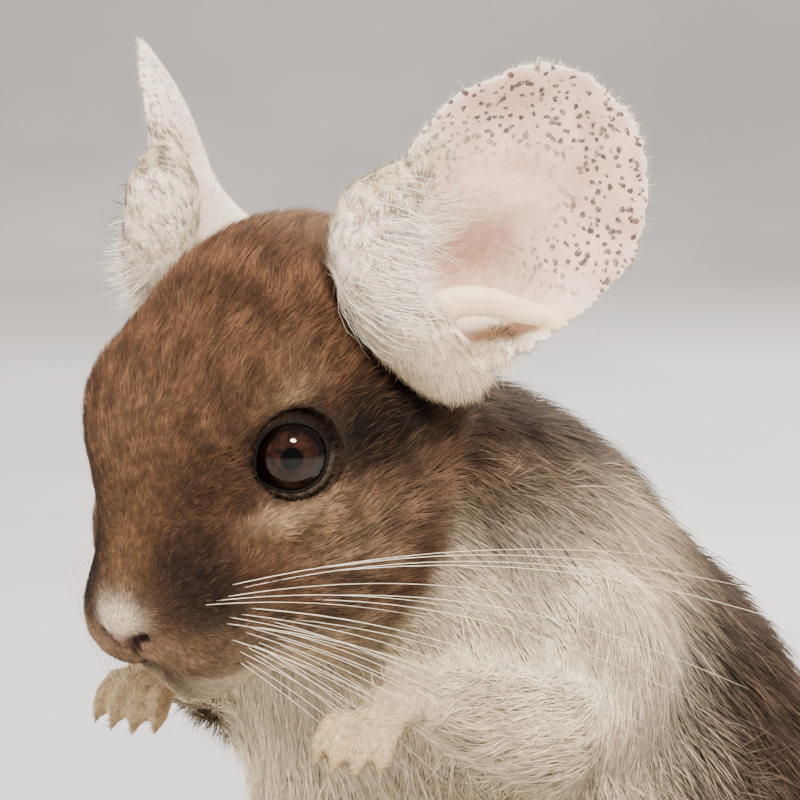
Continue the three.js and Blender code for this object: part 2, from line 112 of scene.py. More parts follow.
def smoothstep(x, low, high):
    t = np.clip((x - low) / (high - low), 0, 1)
    return t * t * (3 - 2 * t)


def mixed(a, b, t):
    return a + (b - a) * t


def painted(colour, mark, weight):
    """`colour` under `mark`, which covers it by `weight` at each point."""
    return mixed(colour, mark, weight[:, None])


def on_surface(along, up):
    """The directions laid flat on the surface whose normals are `up`."""
    return unit(along - up * (along * up).sum(1, keepdims=True))


def read(items, name, size, kind=float):
    """The numbers that each of a mesh's items has, `size` of them in a row."""
    values = np.empty(len(items) * size, dtype=kind)
    items.foreach_get(name, values)
    return values.reshape(-1, size)


def vertices_of(mesh):
    return read(mesh.vertices, "co", 3)


def set_vertices(mesh, co):
    mesh.vertices.foreach_set("co", np.ascontiguousarray(co, dtype=np.float32).ravel())
    mesh.update()


def normals_of(mesh):
    return read(mesh.vertices, "normal", 3)


def edges_of(mesh):
    return read(mesh.edges, "vertices", 2, np.int64)


def triangles_of(mesh, corners="vertices"):
    mesh.calc_loop_triangles()
    return read(mesh.loop_triangles, corners, 3, np.int64)


def tree_of(points, tris):
    return BVHTree.FromPolygons(list(map(tuple, points)), list(map(tuple, tris)), all_triangles=True)


def nearest_faces(tree, points):
    return np.array([tree.find_nearest(Vector(p))[2] for p in points])


def shade_smooth(mesh):
    mesh.polygons.foreach_set("use_smooth", np.ones(len(mesh.polygons), dtype=bool))


def mesh_from(name, points, faces):
    """A smooth mesh of lists of faces, where each list has faces of one number of corners."""
    mesh = bpy.data.meshes.new(name)
    corners = np.concatenate([f.ravel() for f in faces])
    counts = np.concatenate([np.full(len(f), f.shape[1]) for f in faces])
    mesh.vertices.add(len(points))
    mesh.vertices.foreach_set("co", np.ascontiguousarray(points, dtype=np.float32).ravel())
    mesh.loops.add(len(corners))
    mesh.loops.foreach_set("vertex_index", corners.astype(np.int32))
    mesh.polygons.add(len(counts))
    starts = np.concatenate([[0], np.cumsum(counts)[:-1]])
    mesh.polygons.foreach_set("loop_start", starts.astype(np.int32))
    mesh.update(calc_edges=True)
    mesh.validate()
    shade_smooth(mesh)
    return mesh


@contextmanager
def edited(mesh):
    """The mesh's faces and edges to work on, written back at the end."""
    bm = bmesh.new()
    bm.from_mesh(mesh)
    bm.verts.ensure_lookup_table()
    yield bm
    bm.to_mesh(mesh)
    bm.free()


def faced_outwards(mesh):
    with edited(mesh) as bm:
        bmesh.ops.recalc_face_normals(bm, faces=bm.faces)
    return mesh


def shown(name, data):
    obj = bpy.data.objects.new(name, data)
    bpy.context.scene.collection.objects.link(obj)
    return obj


def place(name, mesh, material, slot, nodes=()):
    """Shows a piece of the animal, in place of `nodes`."""
    obj = shown(name, mesh)
    mesh.materials.clear()
    mesh.materials.append(material)
    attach(obj, "root")
    if nodes:
        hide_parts(*nodes)


def colour_points(mesh, name, colours):
    attribute = mesh.color_attributes.new(name, "FLOAT_COLOR", "POINT")
    rgba = np.ones((len(colours), 4), dtype=np.float32)
    rgba[:, :3] = colours
    attribute.data.foreach_set("color", rgba.ravel())


def noise_at(points, scale, seed=0):
    """Smooth noise from -1 to 1, made of a few turned waves of each size, `scale` in metres."""
    rng = np.random.default_rng(seed)
    total = np.zeros(len(points))
    for _ in range(10):
        direction = unit(rng.normal(size=3))
        wave = 2 * math.pi / (scale * rng.uniform(0.7, 1.6))
        total += np.sin(points @ direction * wave + rng.uniform(0, 2 * math.pi))
    return total / 3.2


# The skin


def joined_flesh(grow):
    """The solids of flesh in one mesh, each a little larger, so that neighbours run into one another."""
    whole = bmesh.new()
    for node in FLESH:
        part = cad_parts[node].data.copy()
        with edited(part) as bm:
            bmesh.ops.remove_doubles(bm, verts=bm.verts, dist=0.02 * MM)
            bm.normal_update()
            for v in bm.verts:
                v.co += v.normal * grow
        whole.from_mesh(part)
        bpy.data.meshes.remove(part)
    mesh = bpy.data.meshes.new("joined")
    whole.to_mesh(mesh)
    whole.free()
    return mesh


def remeshed(mesh, voxel, smooth_rounds):
    """The mesh's outside in even faces about `voxel` across."""
    obj = shown("remeshing", mesh)
    remesh = obj.modifiers.new("Remesh", "REMESH")
    remesh.mode = "VOXEL"
    remesh.voxel_size = voxel
    smooth = obj.modifiers.new("Smooth", "SMOOTH")
    smooth.factor = 0.5
    smooth.iterations = smooth_rounds
    made = bpy.data.meshes.new_from_object(obj.evaluated_get(bpy.context.evaluated_depsgraph_get()))
    bpy.data.objects.remove(obj)
    shade_smooth(made)
    return made


def largest_part(mesh):
    """The mesh without its smaller loose pieces."""
    with edited(mesh) as bm:
        seen, best = set(), []
        for v in bm.verts:
            if v.index in seen:
                continue
            found, stack = [], [v]
            seen.add(v.index)
            while stack:
                u = stack.pop()
                found.append(u)
                for e in u.link_edges:
                    w = e.other_vert(u)
                    if w.index not in seen:
                        seen.add(w.index)
                        stack.append(w)
            best = max(best, found, key=len)
        keep = set(v.index for v in best)
        bmesh.ops.delete(bm, geom=[v for v in bm.verts if v.index not in keep], context="VERTS")
    return mesh


# The coat's depth over each solid, in millimetres; on the head it grows from the nose backwards

DEPTHS = {
    "neck": 5.5, "torso": 6.5, "upper_arm": 5, "forearm": 3.2, "forepaw": 0.3, "hindleg": 6, "hindfoot": 0.8,
}


def kind_of(node):
    return node.removesuffix("_left").removesuffix("_right")


def nearest_kinds(points):
    """For each place, the kind of flesh whose solid is nearest."""
    meshes = [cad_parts[node].data for node in FLESH]
    tris = [triangles_of(mesh) for mesh in meshes]
    first = np.cumsum([0] + [len(mesh.vertices) for mesh in meshes])
    faces = np.concatenate([t + start for t, start in zip(tris, first)])
    tree = tree_of(np.concatenate([vertices_of(mesh) for mesh in meshes]), faces)
    owner = np.repeat([kind_of(node) for node in FLESH], [len(t) for t in tris])
    return owner[nearest_faces(tree, points)]


def neighbour_average(values, edges, rounds):
    """Spreads values over a mesh along its edges."""
    values = np.asarray(values, dtype=float)
    flat = values.reshape(len(values), -1)
    count = np.bincount(edges.ravel(), minlength=len(flat))[:, None] + 1
    for _ in range(rounds):
        total = flat.copy()
        for c in range(flat.shape[1]):
            total[:, c] += np.bincount(edges[:, 0], flat[edges[:, 1], c], minlength=len(flat))
            total[:, c] += np.bincount(edges[:, 1], flat[edges[:, 0], c], minlength=len(flat))
        flat = total / count
    return flat.reshape(values.shape)


def coat_depth(points, kinds):
    depth = np.array([DEPTHS.get(k, 0) for k in kinds])
    near_nose = smoothstep(in_head(points)[:, 1], -20, 12)
    return np.where(kinds == "head", mixed(0.5, 2.6, near_nose), depth) * MM


# The way the hair lies, before it is laid on the surface; the head and the forearms have their own
FLOWS = {
    "head": (0, 0, 0), "forearm": (0, 0, 0), "neck": (0, 0.55, -0.8), "torso": (0, 0.45, -0.85),
    "upper_arm": (0, -0.25, -0.95), "forepaw": (0, -0.9, -0.35), "hindleg": (0, 0.15, -0.95),
    "hindfoot": (0, -1, -0.05),
}


def flow_at(points, kinds):
    from_nose = unit(in_head(points) - row_of(0, -31, -15))
    head_flow = unit(from_nose + row_of(0, 0.55, 0.1)) @ HEAD_AXES.T
    flow = np.array([FLOWS[k] for k in kinds], dtype=float)
    flow = np.where((kinds == "head")[:, None], head_flow, flow)
    on_left = points[:, 0] > HEAD_AT.x
    for side, on_side in (("left", on_left), ("right", ~on_left)):
        to_wrist = np.array(node_middle("forepaw_" + side) - node_middle("upper_arm_" + side))
        flow[(kinds == "forearm") & on_side] = unit(to_wrist)
    return unit(flow)


# Markings: linear colours by place, the same for the skin and the coat

SATURATION = 1.06


def srgb(r, g, b):
    c = np.array([r, g, b]) / 255
    c = np.where(c <= 0.04045, c / 12.92, ((c + 0.055) / 1.055) ** 2.4)
    grey = c.mean()
    return np.clip(grey + (c - grey) * SATURATION, 0.001, 1)


BODY_COLOURS = {
    "head": srgb(95, 67, 48), "neck": srgb(117, 97, 80), "torso": srgb(90, 74, 63),
    "upper_arm": srgb(240, 218, 182), "forearm": srgb(244, 224, 189), "forepaw": srgb(236, 203, 158),
    "hindleg": srgb(98, 82, 70), "hindfoot": srgb(214, 183, 142),
}
BELLY = srgb(240, 220, 186)
BACK = srgb(54, 42, 35)
# Marks on the head, both sides alike: middle and reach in its own axes in millimetres, colour and strength
HEAD_MARKS = [
    ((0, -18, 8), (9, 9, 9), srgb(117, 86, 61), 0.5),
    ((0, 14, 25), (16, 16, 8), srgb(103, 73, 53), 0.5),
    ((0, -24, -5), (6, 7, 6), srgb(119, 87, 58), 0.75),
    ((0, -30.4, -14), (4.6, 3.2, 3), srgb(248, 226, 196), 0.97),
    ((9, -21, -9), (5, 5, 5), srgb(33, 20, 13), 0.9),
    ((13, -22, -15), (5, 5.5, 5.5), srgb(31, 19, 12), 0.9),
    ((11, -15, 0), (4.5, 5, 6), srgb(56, 38, 27), 0.6),
    ((14, -18, -23), (7, 8, 5), srgb(122, 98, 78), 0.75),
    ((6, -27, -21), (6, 4, 3), srgb(188, 152, 118), 0.75),
    ((9, -15, -31), (10, 9, 5), srgb(232, 211, 178), 0.95),
    ((16, -10, -29), (7, 10, 5), srgb(212, 185, 151), 0.85),
    ((25, -3, -15), (5, 8, 6), srgb(123, 100, 80), 0.8),
    ((27, 6, -14), (5, 8, 8), srgb(114, 90, 72), 0.75),
    ((24.5, 8, -1.5), (6, 5.5, 4.8), srgb(21, 13, 9), 0.96),
    ((25.5, 16, -3), (6, 8, 6), srgb(22, 15, 10), 0.92),
    ((24, 20, 10), (6, 7, 12), srgb(25, 16, 11), 0.9),
    ((16.5, -1, 0), (8.2, 8.2, 7.4), srgb(21, 13, 10), 0.9),
    ((18.6, -6.5, -6.2), (5.5, 5, 1.3), srgb(206, 172, 136), 0.85),
    ((21, -4, -9.5), (5, 6, 3), srgb(128, 100, 76), 0.7),
    ((20.3, -0.5, 8.6), (4.5, 4.5, 1.2), srgb(160, 130, 100), 0.75),
    ((20, 1.4, 13), (4, 5, 2.4), srgb(118, 90, 66), 0.5),
]
# Marks on the body: x from its middle plane, y and z in the row's frame
BODY_MIDDLE = float(HEAD_AT.x) + 4 * MM
BODY_MARKS = [
    ((26, -90, 116), (12, 12, 13), srgb(244, 226, 194), 0.94),
    ((38, -54, 114), (16, 18, 18), srgb(252, 236, 208), 0.97),
    ((34, -44, 122), (9, 14, 10), srgb(214, 189, 155), 0.8),
    ((26, -75, 137), (9, 9, 10), srgb(62, 47, 37), 0.9),
    ((26, -58, 138), (9, 9, 9), srgb(94, 75, 61), 0.8),
    ((42, -24, 96), (12, 18, 22), srgb(66, 50, 41), 0.8),
]


def marked(colour, places, marks, share):
    """The colour with soft spots on it, `share` of their strength at each place."""
    for middle, reach, mark, strength in marks:
        away = ((places - np.array(middle)) / np.array(reach)) ** 2
        colour = painted(colour, mark, share * strength * np.exp(-0.5 * away.sum(1) ** 1.5))
    return colour


def body_colour(points, kinds, facing):
    """Colours before the smooth change from one part to the next. `facing` is the surface's normal."""
    on_head = kinds == "head"
    on_trunk = np.isin(kinds, ["torso", "neck", "hindleg", "upper_arm"])
    colour = np.array([BODY_COLOURS[k] for k in kinds])
    at = in_head(points)
    at[:, 0] = np.abs(at[:, 0])
    colour = marked(colour, at, HEAD_MARKS, on_head)
    under = smoothstep(-facing[:, 1] - 0.35 * facing[:, 2], -0.1, 0.75)
    colour = painted(colour, BELLY, 0.9 * under * on_trunk)
    over = smoothstep(facing[:, 1] + 0.5 * facing[:, 2], 0.15, 0.95)
    colour = painted(colour, BACK, 0.8 * over * on_trunk)
    at = points / MM
    at[:, 0] = np.abs(points[:, 0] - BODY_MIDDLE) / MM
    return marked(colour, at, BODY_MARKS, ~on_head)


# Paws

# The middle of the knuckles, the digits' spread, fan and slope, their length and how much shorter the outer
# ones are, their droop and thickness, and their places in the row
PAWS = {
    "forepaw": (
        (21.5, -45, 101), (2.7, 1.2, 0), 0.16, (-0.86, -0.5), (9.5, 0.08), 2.6, 1.75, (-1.5, -0.5, 0.5, 1.5),
    ),
    "hindfoot": ((39, -12, 4.6), (4.6, -3, -0.6), 0.17, (-1, 0), (19, 0.14), 1.6, 2.9, (-1, 0, 1)),
}


def digit_ends():
    """Each digit's tip, the way it points and its thickness, in metres in the row's frame."""
    for knuckles, spread, fan, slope, (long, shorter), droop, size, places in PAWS.values():
        for sign in (1, -1):
            mirror = row_of(sign, 1, 1)
            for k in places:
                root = np.array(knuckles) + row_of(k * spread[0], spread[1], spread[2])
                way = unit(row_of(k * fan, *slope))
                length = long * (1 - shorter * abs(k))
                knuckle = root + way * length * 0.55 + row_of(0, 0, droop * 0.35)
                tip = root + way * length - row_of(0, 0, droop)
                yield (tip * mirror + DRAWN_SHIFT) * MM, unit(tip - knuckle) * mirror, size * MM


def without_claws(points):
    """Skin that follows the solids' claws is drawn back to a round fingertip."""
    for tip, on, size in digit_ends():
        away = points - tip
        past = away @ on
        aside = np.linalg.norm(away - past[:, None] * on, axis=1)
        limit = -0.15 * size + 0.5 * np.sqrt(np.maximum(size**2 - aside**2, 0)) - 0.4 * size
        over = (past > limit) & (aside < 1.3 * size) & (past < 3 * size)
        points = np.where(over[:, None], points - ((past - limit) * 0.9)[:, None] * on, points)
    return points


NOSTRIL = [(1.4, -28.4, -20), (2.3, -29.9, -18.2), (4.3, -28.9, -17.2)]
PHILTRUM = [(0, -29.4, -19.6), (0, -28.9, -21.5), (0, -26.5, -24.4)]
MOUTH = [(-10, -10, -24), (-6, -19.5, -24.2), (0, -25.5, -24), (6, -19.5, -24.2), (10, -10, -24)]


def refined_face(mesh):
    """Finer faces round the nose and mouth."""
    h = in_head(vertices_of(mesh))
    near = (h[:, 1] < -15) & (np.abs(h[:, 0]) < 11) & (h[:, 2] < -11) & (h[:, 2] > -32)
    with edited(mesh) as bm:
        edges = [e for e in bm.edges if near[e.verts[0].index] and near[e.verts[1].index]]
        bmesh.ops.subdivide_edges(bm, edges=edges, cuts=2, use_grid_fill=True)
    return mesh


def away_from(points, line):
    """For each point, how far it is from the nearest point of a line."""
    return np.min(np.linalg.norm(points[:, None] - line[None], axis=2), axis=1)


def line_on(points, path, count=40):
    """For each point, its distance in millimetres from a line drawn over the surface."""
    h = in_head(points)
    near = np.nonzero(h[:, 1] < -5)[0]
    line = spline(path, count)
    laid = h[near][np.argmin(np.linalg.norm(h[near][:, None] - line[None], axis=2), axis=0)]
    away = np.full(len(h), 99.0)
    away[near] = away_from(h[near], laid)
    return away


def near_eye(points):
    """0 at the eyes, over 1 away from them."""
    away = [np.linalg.norm(points - np.array(e), axis=1) / (1.9 * EYE_RADIUS) for e in EYES.values()]
    return np.clip(np.minimum(*away) - 0.55, 0, 2) / 0.45


def opened_at_eyes(points):
    """Skin that would lie inside an eye is pushed out to just over its surface."""
    for eye in EYES.values():
        away = points - np.array(eye)
        far = np.linalg.norm(away, axis=1, keepdims=True)
        least = EYE_RADIUS + 0.15 * MM
        points = np.where(far < least, np.array(eye) + away / far * least, points)
    return points


class Skin:
    """The body's one surface, with the coat's lie and colour at each of its points."""

    def __init__(self):
        mesh = largest_part(remeshed(joined_flesh(FLESH_GROWN), SKIN_VOXEL, 1))
        mesh = refined_face(mesh)
        mesh.name = "skin"
        points, edges = vertices_of(mesh), edges_of(mesh)
        kinds = nearest_kinds(points)
        on_paw = np.isin(kinds, PAW_KINDS)
        on_head = kinds == "head"
        coarse = neighbour_average(1.0 - (on_paw | on_head), edges, 8)[:, None]
        points = mixed(points, neighbour_average(points, edges, 10), coarse)
        set_vertices(mesh, points)
        depth = neighbour_average(coat_depth(points, kinds), edges, 14)
        depth = np.where(on_paw, np.minimum(depth, 1 * MM), depth)
        lying = unit(neighbour_average(normals_of(mesh), edges, 2))
        colour = body_colour(points, kinds, neighbour_average(lying, edges, 26))
        far_from_head = neighbour_average(1.0 - on_head, edges, 16)
        wide = neighbour_average(colour, edges, 60)
        self.colour = painted(neighbour_average(colour, edges, 3), wide, smoothstep(far_from_head, 0.1, 0.9))
        flow = neighbour_average(flow_at(points, kinds), edges, 20)
        inside = points - lying * depth[:, None]
        inside[:, 2] = np.maximum(inside[:, 2], 0.2 * MM)
        inside = without_claws(opened_at_eyes(inside))
        smoothed = neighbour_average(inside, edges, 3)
        share = np.minimum(1, near_eye(inside))[:, None] * coarse
        inside = mixed(inside, smoothed, share)
        set_vertices(mesh, inside)
        inside, self.from_mouth = self.with_nose(inside, normals_of(mesh))
        set_vertices(mesh, inside)
        self.mesh, self.edges, self.kinds = mesh, edges, kinds
        self.points = vertices_of(mesh)
        self.normals = unit(neighbour_average(lying, edges, 1))
        self.flow = on_surface(flow, self.normals)

    def with_nose(self, points, normals):
        """Sinks the nostrils, the cleft and the line of the mouth, and paints them near-black as painted
        shade in these hollows.
        """
        least = np.full(len(points), 99.0)
        moved = points.copy()
        from_pad = (in_head(points) - row_of(0, -29.5, -18.6)) ** 2 / row_of(3.6, 3, 2.6) ** 2
        self.colour = painted(self.colour, srgb(196, 142, 124), 0.8 * np.exp(-from_pad.sum(1)))
        other_nostril = [(-x, y, z) for x, y, z in NOSTRIL]
        for path, reach, deep in (
            (NOSTRIL, 0.85, 1.6), (other_nostril, 0.85, 1.6), (PHILTRUM, 0.45, 0.8), (MOUTH, 0.55, 1.0),
        ):
            away = line_on(points, path)
            moved -= normals * (np.exp(-((away / reach) ** 2)) * deep * MM)[:, None]
            paint = np.exp(-((away / (reach * 1.25)) ** 2))
            # Painted shade: near-black in the sunk nostrils, cleft and mouth line.
            self.colour = painted(self.colour, srgb(40, 20, 16), 0.95 * paint)
            least = np.minimum(least, away + (0.25 if path is MOUTH else 0))
        return moved, least


# Materials


class Paint:
    """A material. Each method adds one of its nodes and gives what comes out of it."""

    def __init__(self, name):
        self.material = bpy.data.materials.new(name)
        self.material.use_nodes = True
        self.tree = self.material.node_tree

    def feed(self, node, inputs):
        for name, value in inputs.items():
            if isinstance(value, bpy.types.NodeSocket):
                self.tree.links.new(value, node.inputs[name])
            else:
                node.inputs[name].default_value = value

    def node(self, kind, output, inputs=None, **settings):
        node = self.tree.nodes.new("ShaderNode" + kind)
        for name, value in settings.items():
            setattr(node, name, value)
        self.feed(node, inputs or {})
        return node.outputs[output]

    def where(self):
        return self.node("TexCoord", "Object")

    def noise(self, scale, detail, place=None):
        inputs = {"Scale": scale, "Detail": detail, "Vector": place or self.where()}
        return self.node("TexNoise", "Fac", inputs)

    def ramp(self, value, *stops):
        """`stops` are pairs of a position and a colour or a grey."""
        out = self.node("ValToRGB", "Color", {"Fac": value})
        elements = out.node.color_ramp.elements
        while len(elements) < len(stops):
            elements.new(0.5)
        for element, (position, colour) in zip(elements, stops):
            element.position = position
            element.color = (*(np.ones(3) * colour), 1)
        return out

    def times(self, a, b):
        inputs = {"Factor": 1, "A": a, "B": b}
        return self.node("Mix", "Result", inputs, data_type="RGBA", blend_type="MULTIPLY")

    def bump(self, height, strength, distance):
        return self.node("Bump", "Normal", {"Height": height, "Strength": strength, "Distance": distance})

    def points(self, name="coat", output="Color"):
        """What the mesh's own points say."""
        return self.node("Attribute", output, attribute_name=name)

    def shaded(self, colour, roughness, specular, normal=None, **more):
        inputs = {"Base Color": colour, "Roughness": roughness, "Specular IOR Level": specular}
        if normal:
            inputs["Normal"] = normal
        inputs.update({name.replace("_", " "): value for name, value in more.items()})
        self.feed(self.tree.nodes["Principled BSDF"], inputs)
        return self.material


def hair_material():
    """Painted by the coat's own markings, with a fine change of shade from hair to hair."""
    paint = Paint("coat_hair")
    shade = paint.ramp(paint.noise(900, 2), (0.3, 0.72), (0.7, 1.22))
    return paint.shaded(paint.times(paint.points(), shade), 0.85, 0.12)


def skin_material():
    """Under the coat: the same markings, darker as painted shade under the hair, with the short nap as bump.
    """
    paint = Paint("skin_under_coat")
    nap = paint.noise(1400, 3)
    shade = paint.ramp(nap, (0.3, 0.45), (0.7, 0.95))
    return paint.shaded(paint.times(paint.points(), shade), 0.9, 0.2, paint.bump(nap, 0.5, 0.4 * MM))


def ear_material():
    """Thin pink skin with fine veins, and dark freckles where `freckled` says."""
    paint = Paint("ear_skin")
    spots = {"Scale": 760, "Randomness": 1, "Vector": paint.where()}
    ragged = {0: paint.noise(1100, 3), 1: 1.1, 2: paint.node("TexVoronoi", "Distance", spots)}
    spot = paint.ramp(paint.node("Math", 0, ragged, operation="MULTIPLY_ADD"), (0.82, 0.97), (0.94, 0))
    patches = paint.ramp(paint.noise(130, 2), (0.24, 0), (0.36, 1))
    mask = paint.times(paint.times(spot, paint.points("freckled")), patches)
    shade = paint.ramp(paint.noise(170, 7), (0.32, (0.84, 0.72, 0.69)), (0.66, (1.1, 1.12, 1.13)))
    freckles = {"Factor": mask, "A": paint.times(paint.points(), shade), "B": (*srgb(74, 64, 62), 1)}
    return paint.shaded(
        paint.node("Mix", "Result", freckles, data_type="RGBA"), 0.6, 0.35,
        paint.bump(paint.noise(700, 6), 0.35, 0.3 * MM), Subsurface_Weight=0.35,
        Subsurface_Radius=(3 * MM, 1.2 * MM, 0.8 * MM), Subsurface_Scale=1,
    )


def eye_material():
    """A dark brown iris with fine rays round a black pupil, under a wet surface."""
    paint = Paint("eyeball")
    place = paint.points("iris", "Vector")
    iris = paint.ramp(paint.noise(7, 5, place), (0.32, srgb(14, 6, 4)), (0.72, srgb(46, 26, 19)))
    across = {name: paint.node("SeparateXYZ", name, {"Vector": place}) for name in ("X", "Y")}
    flat = paint.node("CombineXYZ", "Vector", across)
    radius = paint.node("VectorMath", "Value", {0: flat}, operation="LENGTH")
    rings = paint.ramp(
        radius, (0.0, 0.0), (0.235, 0.0), (0.265, 0.75), (0.42, 1.0), (0.56, 0.75), (0.64, 0.12), (1.0, 0.02)
    )
    return paint.shaded(paint.times(iris, rings), 0.05, 0, Coat_Weight=1, Coat_Roughness=0.02, Coat_IOR=1.33)


def plain_material(name, colour, roughness, scale, strength=0.2, specular=0.5):
    """One material in two close shades, with a fine grain."""
    paint = Paint(name)
    grain = paint.noise(scale, 5)
    shade = paint.ramp(grain, (0.3, np.array(colour) * 0.75), (0.7, np.array(colour) * 1.15))
    return paint.shaded(shade, roughness, specular, paint.bump(grain, strength, 0.2 * MM))


# The coat


class Unwrap:
    """A flat layout of a surface, made on a coarse copy, that gives each root its place."""

    def __init__(self, mesh, voxel=3 * MM):
        obj = shown("unwrapping", remeshed(mesh.copy(), voxel, 0))
        bpy.context.view_layer.objects.active = obj
        obj.select_set(True)
        bpy.ops.object.mode_set(mode="EDIT")
        bpy.ops.mesh.select_all(action="SELECT")
        bpy.ops.uv.smart_project(angle_limit=math.radians(66), island_margin=0.004)
        bpy.ops.object.mode_set(mode="OBJECT")
        coarse = obj.data
        points, tris = vertices_of(coarse), triangles_of(coarse)
        uv = read(coarse.uv_layers.active.data, "uv", 2)
        self.corner_uv = uv[triangles_of(coarse, "loops")]
        self.corners = points[tris]
        self.tree = tree_of(points, tris)
        bpy.data.objects.remove(obj)

    def at(self, points):
        face = nearest_faces(self.tree, points)
        a, b, c = (self.corners[face, k] for k in range(3))
        normal = np.cross(b - a, c - a)
        size = (normal * normal).sum(1) + 1e-20
        wb = (np.cross(points - a, c - a) * normal).sum(1) / size
        wc = (np.cross(b - a, points - a) * normal).sum(1) / size
        weights = np.clip(np.stack([1 - wb - wc, wb, wc], 1), 0, 1)
        weights /= weights.sum(1, keepdims=True)
        return (self.corner_uv[face] * weights[:, :, None]).sum(1)


UV_PATCH = 0.003  # across one hair's place on the unwrap
HAIR_SECTION = [(-0.5, 0.0), (0.5, 0.0), (0.0, 0.45)]  # in widths, across the hair and up from it


def hair_mesh(name, roots, up, along, length, width, lift, base, tip, uv, rings=2, curl=0.5):
    """Flat, tapered, bent hairs or locks: `rings` three-sided rings and a tip, closed at the root.

    up and along are each root's normal and lie; lift is the angle at the root, which the curl lays down.
    """
    across = unit(np.cross(along, up))
    points, colours, patches, shading = [], [], [], []
    for ring in range(rings + 1):
        t = ring / rings
        angle = (lift * (1 - curl * t))[:, None]
        centre = roots + length[:, None] * t * (along * np.cos(angle) + up * np.sin(angle))
        at_tip = ring == rings
        girth = (width * (1 - 0.35 * t) * (0.7 if ring == 0 else 1))[:, None]
        for side, rise in [(0, 0)] if at_tip else HAIR_SECTION:
            points.append(centre + across * (side * girth) + up * (rise * girth))
            colours.append(mixed(base, tip, min(1, 1.25 * t)))
            patches.append(uv + UV_PATCH * np.array([side, t - 0.5]))
            shading.append(up + 0.3 * along if at_tip else up + across * (1.5 * side))
    count = 3 * rings + 1
    first = np.arange(len(roots))[:, None, None] * count
    last = 3 * (rings - 1)
    tris = [[last + (k + 1) % 3, last + k, count - 1] for k in range(3)] + [[0, 1, 2]]
    quads = [
        [3 * r + k, 3 * r + 3 + k, 3 * r + 3 + (k + 1) % 3, 3 * r + (k + 1) % 3]
        for r in range(rings - 1) for k in range(3)
    ]
    faces = [(first + np.array(f)[None]).reshape(-1, len(f[0])) for f in (tris, quads) if f]
    mesh = mesh_from(name, np.stack(points, 1).reshape(-1, 3), faces)
    colour_points(mesh, "coat", np.stack(colours, 1).reshape(-1, 3))
    corner = read(mesh.loops, "vertex_index", 1, np.int64)[:, 0]
    uv_of_corners = np.stack(patches, 1).reshape(-1, 2)[corner]
    mesh.uv_layers.new(name="OFBake").data.foreach_set("uv", uv_of_corners.astype(np.float32).ravel())
    # Shaded as the surface it lies over, which makes the coat soft
    mesh.normals_split_custom_set_from_vertices(unit(np.stack(shading, 1).reshape(-1, 3)))
    return mesh


def scattered(mesh, normals, values, density, rng):
    """Roots over a mesh, `density` of them in a square millimetre, with their normals and values."""
    points, tris = vertices_of(mesh), triangles_of(mesh)
    a, b, c = (points[tris[:, k]] for k in range(3))
    area = np.linalg.norm(np.cross(b - a, c - a), axis=1) / 2
    count = rng.poisson(area / MM**2 * density[tris].mean(1))
    face = np.repeat(np.arange(len(tris)), count)
    u, v = rng.random(len(face)), rng.random(len(face))
    over = u + v > 1
    u[over], v[over] = 1 - u[over], 1 - v[over]
    weights = np.stack([1 - u - v, u, v], 1)
    corners = tris[face]

    def blend(field):
        return (field[corners] * weights.reshape(len(face), 3, *[1] * (field.ndim - 1))).sum(1)

    found = {name: blend(field) for name, field in values.items()}
    return blend(points), unit(blend(normals)), found


# For each kind of coat: hairs per square millimetre, length and width in millimetres, lift in degrees
COATS = {
    "head": (8.5, 3.0, 0.17, 25), "neck": (4.6, 7.2, 0.24, 24), "torso": (2.3, 10, 0.34, 21),
    "upper_arm": (5.0, 6.6, 0.22, 26), "forearm": (5.4, 5.5, 0.2, 30), "forepaw": (8.0, 1.2, 0.12, 16),
    "hindleg": (2.3, 9.5, 0.34, 20), "hindfoot": (4.5, 2.0, 0.17, 14),
}
LONG_HAIRED = ["neck", "torso", "upper_arm", "forearm", "hindleg"]
BENT_SHARE = 0.1  # of the long hair, that is bent
# The coat's roots are darker than its tips: partly the fur's own dark base, partly painted shade deep in the
# coat between the hairs.
ROOT_SHADE = 0.3  # how dark the coat is at its roots
PALE_ROOT_SHADE = 0.72  # where it is pale
# The skin is painted darker than the coat over it: painted shade under the hair.
UNDER_COAT_SHADE = 0.6  # how dark the skin is below it
MOST_TRIANGLES = 190000  # in one piece of the coat


def ticked(colour, points, rng):
    """The colour of each hair's tip: soft patches, and single hairs with paler or darker ends."""
    wide = noise_at(points, 12 * MM, 3)
    small = noise_at(points, 4 * MM, 4)
    fine = noise_at(points, 1.4 * MM, 14)
    pale = smoothstep(colour.mean(1), 0.12, 0.55)
    patch = 0.5 * wide + 0.9 * small + 0.8 * fine + rng.normal(0, 0.3, len(points))
    tip = colour * np.clip(1 + mixed(0.6, 0.12, pale) * patch, 0.3, 2.2)[:, None]
    taupe = pale * np.clip(1.1 * (0.7 * wide + 0.9 * small + 0.5 * fine) - 0.04, 0, 0.75)
    tip = mixed(tip, srgb(128, 106, 90), taupe[:, None])
    tan = rng.random(len(points)) < 0.12
    tip[tan] = mixed(tip, srgb(176, 146, 114), 0.22)[tan]
    deep = rng.random(len(points)) < mixed(0.2, 0.06, pale)
    tip[deep] *= 0.55
    return np.clip(tip, 0.003, 0.92)


